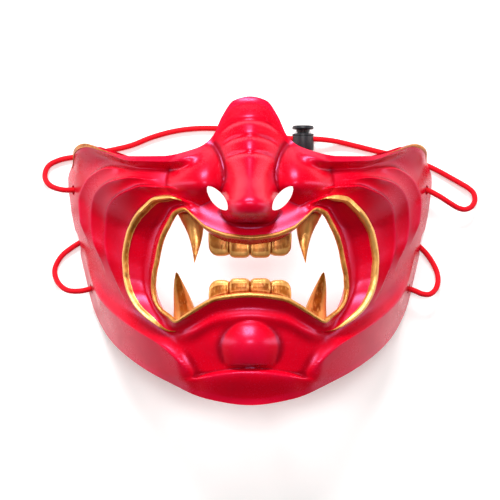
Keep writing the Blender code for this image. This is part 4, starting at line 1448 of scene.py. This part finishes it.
@dataclass
class Fang:
    """Curved fang rooted behind the lip. An upper one is a round claw and a lower one has a ridge down its front."""

    form: GuardForm
    jaw: Jaw
    turn: float
    shows: float
    radius: float
    lean: float
    bow: float
    taper: float = 1.0
    root: float = 0.0045
    seat_gap: float = 0.0003
    depth_share: float = 0.8
    forward_share: float = 0.85
    tip_crowding: float = 1.25
    oval: float = 0.05
    oval_turn: float = 1.2
    facet_edge: int = 9
    steps: int = 60
    sides: int = 36
    facets: tuple[Facet, ...] = (
        Facet(28.0, 0.80), Facet(122.0, 0.72), Facet(190.0, 0.98), Facet(268.0, 0.85), Facet(330.0, 0.95),
    )
    rings_table: tuple[FangRing, ...] = (
        FangRing(0.00, 1.00, 0.00), FangRing(0.22, 1.00, 0.00), FangRing(0.38, 0.88, 0.15),
        FangRing(0.54, 0.71, 0.42), FangRing(0.69, 0.53, 0.72), FangRing(0.82, 0.35, 1.00),
        FangRing(0.92, 0.20, 1.20), FangRing(0.98, 0.10, 1.32), FangRing(1.00, 0.03, 1.36),
    )

    def outline(self, angle: Array) -> Array:
        """Gives the cross-section of the fang.

        Args:
            angle: Angles from the outward direction, towards the front.

        Returns:
            Shares of the radius.
        """
        if self.jaw is Jaw.UPPER:
            return 1.0 + self.oval * np.cos(2 * (angle - self.oval_turn))
        facing = [np.cos(angle - math.radians(facet.faces)) / facet.distance for facet in self.facets]
        return sum(np.clip(face, 0.0, None) ** self.facet_edge for face in facing) ** (-1 / self.facet_edge)

    def rings(self, side: Side) -> Array:
        """Works out the fang's rings from root to tip.

        Args:
            side: Side of the mouth.

        Returns:
            Rings of points.
        """
        out = side.value
        upward = self.jaw.value[1]
        across, height = (float(value) for value in self.form.mouth_edge(np.array(self.turn)))
        length = self.shows + self.root
        run = np.array([out * self.lean, upward]) / math.hypot(self.lean, 1.0)
        wide = np.array([abs(run[1]), -run[0] * upward])
        start = np.array([out * across, height]) - run * self.root
        knots, radii, forward = zip(*self.rings_table)
        angle = 2 * math.pi * np.arange(self.sides) / self.sides
        reach = self.outline(angle)
        rings = []
        for along in 1.0 - (1.0 - np.linspace(0.0, 1.0, self.steps)) ** self.tip_crowding:
            radius = self.radius * float(through(knots, radii, np.array(along))) ** self.taper
            swing = float(through(knots, forward, np.array(along)))
            bow = out * self.bow * self.radius * math.sin(math.pi * along)
            spread = bow + out * radius * reach * np.cos(angle)
            spot = start + run * length * along + spread[:, None] * wide
            half_depth = self.depth_share * radius
            middle = self.form.wall + self.seat_gap + half_depth - self.forward_share * self.radius * swing
            rings.append(self.form.behind_lip(spot[:, 0], spot[:, 1], middle - half_depth * reach * np.sin(angle)))
        return np.array(rings)

    def build(self, side: Side, finish: bpy.types.Material) -> bpy.types.Object:
        """Builds and dresses the fang on one side.

        Args:
            side: Side of the mouth.
            finish: Its material.

        Returns:
            The piece.
        """
        made = add_piece(f"{self.jaw.word}_gilt_fang_{side.word}", loft(self.rings(side)), finish, crease=70.0)
        mark_relief(made, rounds=14, depth=0.00030)
        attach(made, "guard")
        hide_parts(f"{self.jaw.word}_fang_{side.word}")
        return made


@dataclass
class ElasticCord:
    """Round braided elastic that lies loose on the table. The route's points are the frame's own."""

    name: str
    node: str
    route: tuple[tuple[float, float, float], ...]
    diameter: float = 0.0028
    steps: int = 420
    fine_steps: int = 40
    sides: int = 16
    partners: tuple[str, ...] = ()
    path: Array = field(init=False)

    def __post_init__(self) -> None:
        """Runs a smooth curve through the route at even steps."""
        points = np.array(self.route)
        knots = run_along(points, power=0.5)
        at = np.linspace(0.0, knots[-1], self.fine_steps * len(points))
        fine = blend(knots, points, np.gradient(points, knots, axis=0), at)
        run = run_along(fine)
        even = np.linspace(0.0, run[-1], self.steps)
        self.path = np.stack([np.interp(even, run, fine[:, k]) for k in range(3)], axis=1)

    @property
    def length(self) -> float:
        """Length along the middle of the cord."""
        return float(run_along(self.path)[-1])

    def build(self, finish: bpy.types.Material) -> bpy.types.Object:
        """Builds and dresses the cord.

        Args:
            finish: Its material.

        Returns:
            The piece.
        """
        ahead = np.gradient(self.path, axis=0)
        ahead /= np.linalg.norm(ahead, axis=1, keepdims=True)
        across = Vector((0.0, 0.0, 1.0))
        angle = 2 * math.pi * np.arange(self.sides) / self.sides
        rings = []
        for spot, way in zip(self.path, ahead):
            way = Vector(way)
            across = (across - way * across.dot(way)).normalized()
            third = np.array(way.cross(across))
            ring = np.cos(angle)[:, None] * np.array(across) + np.sin(angle)[:, None] * third
            rings.append(spot + self.diameter / 2 * ring)
        made = add_piece(self.name, loft(np.array(rings), lay_uv=True), finish, crease=60.0)
        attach(made, "guard")
        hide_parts(self.node)
        return made

    def declare(self, made: bpy.types.Object) -> None:
        """Takes the cord's piece and does nothing with it.

        Args:
            made: The cord's piece, which is not used.
        """


@dataclass
class CordLock:
    """Sprung barrel lock on the upper cord: a ribbed body with a bore, and a button with a domed cap on a stem."""

    place: tuple[float, float, float] = (0.0275, 0.0577, 0.0056)
    radius: float = 0.0056
    end_wall: float = 0.0012
    cap_radius: float = 0.0056
    cap_height: float = 0.0020
    plunger_radius: float = 0.0034
    travel: float = 0.0020
    gap: float = 0.0003
    cord_diameter: float = 0.0028
    body_edge: float = 0.0006
    button_edge: float = 0.0005
    slot_edge: float = 0.0003
    turns: int = 64

    @property
    def bore(self) -> float:
        """Radius of the passage for the cord."""
        return self.cord_diameter / 2 + self.gap

    @property
    def cap_base(self) -> float:
        """Where the button's cap starts, from the lock's middle along Y."""
        return self.bore + self.travel + self.end_wall

    @property
    def body_mouth(self) -> float:
        """Where the body ends, clear of the pressed cap."""
        return self.cap_base - self.travel - self.gap

    @property
    def bore_end(self) -> float:
        """Where the body's blind bore ends."""
        return -self.bore - self.end_wall - self.travel - self.gap

    def turned(self, name: str, profile: list[tuple[float, float]], finish: bpy.types.Material) -> bpy.types.Object:
        """Spins a profile round the lock's axis.

        Args:
            name: Name of the piece.
            profile: Radii and places along Y, from one end on the axis to the other.
            finish: Its material.

        Returns:
            The piece.
        """
        mesh = bmesh.new()
        middle = Vector(self.place)
        corners = [mesh.verts.new(middle + Vector((radius, along, 0.0))) for radius, along in profile]
        line = [mesh.edges.new(pair) for pair in zip(corners[:-1], corners[1:])]
        bmesh.ops.spin(
            mesh, geom=corners + line, cent=middle, axis=(0.0, 1.0, 0.0), angle=2 * math.pi, steps=self.turns,
            use_merge=True,
        )
        bmesh.ops.remove_doubles(mesh, verts=mesh.verts, dist=1e-6)
        return add_piece(name, mesh, finish, crease=30.0)

    def build_body(self, finish: bpy.types.Material) -> bpy.types.Object:
        """Builds the barrel, with a moulded lip at its mouth and the cord's passage.

        Args:
            finish: Its material.

        Returns:
            The piece.
        """
        end, mouth, well = self.bore_end - self.end_wall, self.body_mouth, self.plunger_radius + self.gap
        rim, soft = self.radius, self.body_edge
        profile = [
            (0.0, end), (rim - 1.6 * soft, end), (rim - 0.5 * soft, end + 0.4 * soft), (rim, end + 1.5 * soft),
            (rim, mouth - 2.6 * soft), (rim - 0.35 * soft, mouth - 2.2 * soft),
            (rim - 0.35 * soft, mouth - 1.8 * soft), (rim, mouth - 1.4 * soft), (rim, mouth - 0.4 * soft),
            (rim - 0.4 * soft, mouth), (well + 0.4 * soft, mouth), (well, mouth - 0.4 * soft),
            (well, self.bore_end), (0.0, self.bore_end),
        ]
        made = self.turned("cord_lock_barrel", profile, finish)
        passage = bmesh.new()
        place = Matrix.Translation(self.place) @ Matrix.Rotation(math.pi / 2, 4, "Y")
        bmesh.ops.create_cone(
            passage, cap_ends=True, segments=40, radius1=self.bore, radius2=self.bore, depth=3 * self.radius,
            matrix=place,
        )
        carve(made, passage, crease=30.0)
        mark_relief(made, rounds=3, depth=0.00012)
        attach(made, "guard")
        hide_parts("cord_lock_body")
        return made

    def build_button(self, finish: bpy.types.Material) -> bpy.types.Object:
        """Builds the button, whose stem is slotted so that it can slide over the cord.

        Args:
            finish: Its material.

        Returns:
            The piece.
        """
        end, base = -self.bore - self.end_wall, self.cap_base
        top = base + self.cap_height
        cap, stem, soft = self.cap_radius, self.plunger_radius, self.button_edge
        profile = [
            (0.0, end), (stem - soft, end), (stem, end + soft), (stem, base - 1.6 * soft),
            (stem + 0.4 * soft, base - 0.3 * soft), (cap - soft, base), (cap, base + 0.7 * soft),
            (cap, top - 1.8 * soft), (cap - 0.4 * soft, top - 0.8 * soft), (cap - 1.6 * soft, top - 0.15 * soft),
            (0.5 * cap, top), (0.0, top),
        ]
        made = self.turned("cord_lock_plunger", profile, finish)
        slot = bmesh.new()
        low, high = -self.bore, self.bore + self.travel
        size = (4 * stem, high - low, 2 * self.bore)
        middle = Vector(self.place) + Vector((0.0, (low + high) / 2, 0.0))
        bmesh.ops.create_cube(slot, size=1.0, matrix=Matrix.Translation(middle) @ Matrix.Diagonal((*size, 1.0)))
        bmesh.ops.bevel(
            slot, geom=slot.edges[:], offset=self.slot_edge, offset_type="OFFSET", segments=2, profile=0.5,
            affect="EDGES", material=-1,
        )
        carve(made, slot, crease=30.0)
        mark_relief(made, rounds=3, depth=0.00012)
        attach(made, "lock_button")
        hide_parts("cord_lock_button")
        return made


class Lamp(NamedTuple):
    """Softbox: its name, where it stands, its power in watts, and its width and height."""

    name: str
    place: tuple[float, float, float]
    power: float
    size: Span


@dataclass
class Studio:
    """Camera straight above the guard, pale paper under it and soft light round it."""

    camera_height: float = 0.95
    lens: float = 131.0
    sensor: float = 36.0
    floor_size: float = 1.6
    aim: tuple[float, float, float] = (0.0, 0.0, 0.04)
    ambient: float = 0.05
    lamps: tuple[Lamp, ...] = (
        Lamp("top_softbox", (-0.10, 1.00, 0.80), 25.0, (0.7, 0.35)),
        Lamp("left_softbox", (-1.00, 0.10, 0.35), 4.0, (0.3, 0.8)),
        Lamp("right_softbox", (1.00, 0.10, 0.35), 4.0, (0.3, 0.8)),
        Lamp("overhead_fill", (0.0, 0.25, 1.6), 11.5, (0.5, 0.3)),
    )

    def place_camera(self) -> None:
        """Adds the camera at the photograph's angle."""
        data = bpy.data.cameras.new("camera")
        data.sensor_width = self.sensor
        data.lens = self.lens
        made = bpy.data.objects.new("camera", data)
        made.location = (0.0, 0.0, self.camera_height)
        bpy.context.scene.collection.objects.link(made)
        bpy.context.scene.camera = made

    def add_lamp(self, lamp: Lamp) -> None:
        """Adds a softbox that faces the guard.

        Args:
            lamp: Its row.
        """
        data = bpy.data.lights.new(lamp.name, "AREA")
        data.shape = "RECTANGLE"
        data.energy = lamp.power
        data.size, data.size_y = lamp.size
        made = bpy.data.objects.new(lamp.name, data)
        made.location = lamp.place
        made.rotation_euler = (Vector(self.aim) - Vector(lamp.place)).to_track_quat("-Z", "Y").to_euler()
        bpy.context.scene.collection.objects.link(made)

    def build(self) -> None:
        """Lays the floor and sets the lights."""
        mesh = bmesh.new()
        bmesh.ops.create_grid(mesh, x_segments=2, y_segments=2, size=self.floor_size)
        floor = add_piece("paper_floor", mesh, PalePaper().material())
        for lamp in self.lamps:
            self.add_lamp(lamp)
        world = bpy.data.worlds.new("studio_white")
        bpy.context.scene.world = world
        world.use_nodes = True
        light = world.node_tree.nodes["Background"].inputs
        light["Color"].default_value = linear("#FFFFFF")
        light["Strength"].default_value = self.ambient
        bpy.context.scene.view_settings.view_transform = "Standard"


UPPER_ROUTE = (
    (-0.0803, 0.0059, 0.0064), (-0.0806, 0.0105, 0.0061), (-0.0815, 0.0165, 0.0056), (-0.0822, 0.0210, 0.0053),
    (-0.0825, 0.0250, 0.0052), (-0.0833, 0.0280, 0.0055), (-0.0855, 0.0302, 0.0062), (-0.0885, 0.0310, 0.0074),
    (-0.0914, 0.0310, 0.0086), (-0.0975, 0.0312, 0.0105), (-0.1035, 0.0335, 0.0090), (-0.1066, 0.0384, 0.0047),
    (-0.1050, 0.0438, 0.0020), (-0.0990, 0.0470, 0.0015), (-0.0880, 0.0490, 0.0015), (-0.0750, 0.0515, 0.0015),
    (-0.0620, 0.0545, 0.0015), (-0.0510, 0.0588, 0.0015), (-0.0390, 0.0620, 0.0015), (-0.0270, 0.0634, 0.0015),
    (-0.0140, 0.0632, 0.0015), (-0.0020, 0.0618, 0.0017), (0.0090, 0.0598, 0.0030), (0.0185, 0.0581, 0.0050),
    (0.0275, 0.0577, 0.0056), (0.0365, 0.0575, 0.0050), (0.0450, 0.0565, 0.0030), (0.0540, 0.0545, 0.0017),
    (0.0640, 0.0520, 0.0015), (0.0760, 0.0490, 0.0015), (0.0870, 0.0460, 0.0015), (0.0960, 0.0423, 0.0016),
    (0.1050, 0.0374, 0.0020), (0.1102, 0.0344, 0.0026), (0.1138, 0.0321, 0.0033), (0.1163, 0.0294, 0.0041),
    (0.1168, 0.0259, 0.0051), (0.1151, 0.0227, 0.0061), (0.1118, 0.0211, 0.0072), (0.1082, 0.0216, 0.0083),
    (0.1033, 0.0243, 0.0096), (0.0976, 0.0279, 0.0101), (0.0914, 0.0310, 0.0086), (0.0885, 0.0310, 0.0074),
    (0.0855, 0.0302, 0.0062), (0.0833, 0.0280, 0.0055), (0.0825, 0.0250, 0.0052), (0.0822, 0.0210, 0.0053),
    (0.0815, 0.0165, 0.0056), (0.0806, 0.0105, 0.0061), (0.0803, 0.0059, 0.0064),
)
LOWER_ROUTE = (
    (-0.0802, 0.0056, 0.0064), (-0.0798, 0.0012, 0.0062), (-0.0786, -0.0023, 0.0060), (-0.0760, -0.0060, 0.0060),
    (-0.0735, -0.0102, 0.0060), (-0.0727, -0.0138, 0.0061), (-0.0735, -0.0168, 0.0063), (-0.0757, -0.0191, 0.0070),
    (-0.0787, -0.0200, 0.0081), (-0.0817, -0.0200, 0.00915), (-0.0880, -0.0212, 0.0110), (-0.0945, -0.0207, 0.0098),
    (-0.0998, -0.0165, 0.0057), (-0.1017, -0.0103, 0.0024), (-0.0985, -0.0035, 0.0015), (-0.0925, 0.0015, 0.0015),
    (-0.0860, 0.0055, 0.0015), (-0.0795, 0.0105, 0.0015), (-0.0720, 0.0190, 0.0015), (-0.0610, 0.0300, 0.0015),
    (-0.0460, 0.0380, 0.0015), (-0.0250, 0.0412, 0.0015), (0.0000, 0.0418, 0.0015), (0.0250, 0.0412, 0.0015),
    (0.0460, 0.0380, 0.0015), (0.0610, 0.0300, 0.0015), (0.0720, 0.0190, 0.0015), (0.0795, 0.0105, 0.0015),
    (0.0865, 0.0035, 0.0015), (0.0920, -0.0020, 0.0015), (0.0958, -0.0078, 0.0019), (0.0975, -0.0125, 0.0034),
    (0.0975, -0.0168, 0.0058), (0.0960, -0.0204, 0.0081), (0.0930, -0.0228, 0.0099), (0.0890, -0.0227, 0.0109),
    (0.0852, -0.0211, 0.0103), (0.0817, -0.0200, 0.00915), (0.0787, -0.0200, 0.0081), (0.0757, -0.0191, 0.0070),
    (0.0735, -0.0168, 0.0063), (0.0727, -0.0138, 0.0061), (0.0735, -0.0102, 0.0060), (0.0760, -0.0060, 0.0060),
    (0.0786, -0.0023, 0.0060), (0.0798, 0.0012, 0.0062), (0.0802, 0.0056, 0.0064),
)


def main() -> None:
    """Builds and dresses the guard, its cord and the studio."""
    logging.basicConfig(level=logging.INFO, format="%(message)s")
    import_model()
    studio = Studio()
    studio.place_camera()

    elastic = BraidedElastic().material()
    upper = ElasticCord("upper_elastic", "upper_cord", UPPER_ROUTE, partners=("cord_lock_barrel", "cord_lock_plunger"))
    lower = ElasticCord("lower_elastic", "lower_cord", LOWER_ROUTE)
    cords = [(cord, cord.build(elastic)) for cord in (upper, lower)]

    form = GuardForm()
    pieces = [piece for _, piece in cords]
    pieces.append(Shell(form).build(CrimsonLacquer().material()))
    gilt = WornGilt().material()
    pieces += GiltBeads(form).build(gilt)
    pieces.append(ToothRow(form, Jaw.UPPER, shows=0.0085).build(gilt))
    pieces.append(ToothRow(form, Jaw.LOWER, shows=0.0066).build(gilt))
    upper_fang = Fang(form, Jaw.UPPER, turn=0.335, shows=0.0248, radius=0.0058, lean=-0.31, bow=-0.38, taper=1.35)
    lower_fang = Fang(form, Jaw.LOWER, turn=0.802, shows=0.0206, radius=0.0060, lean=-0.12, bow=0.10)
    pieces += [fang.build(side, gilt) for fang in (upper_fang, lower_fang) for side in Side]
    nylon = MouldedNylon().material()
    lock = CordLock()
    pieces += [lock.build_body(nylon), lock.build_button(nylon)]
    for cord, piece in cords:
        cord.declare(piece)
    for piece in pieces:
        LOG.info("%s: %d faces", piece.name, len(piece.data.polygons))
    studio.build()


if __name__ == "__main__":
    main()
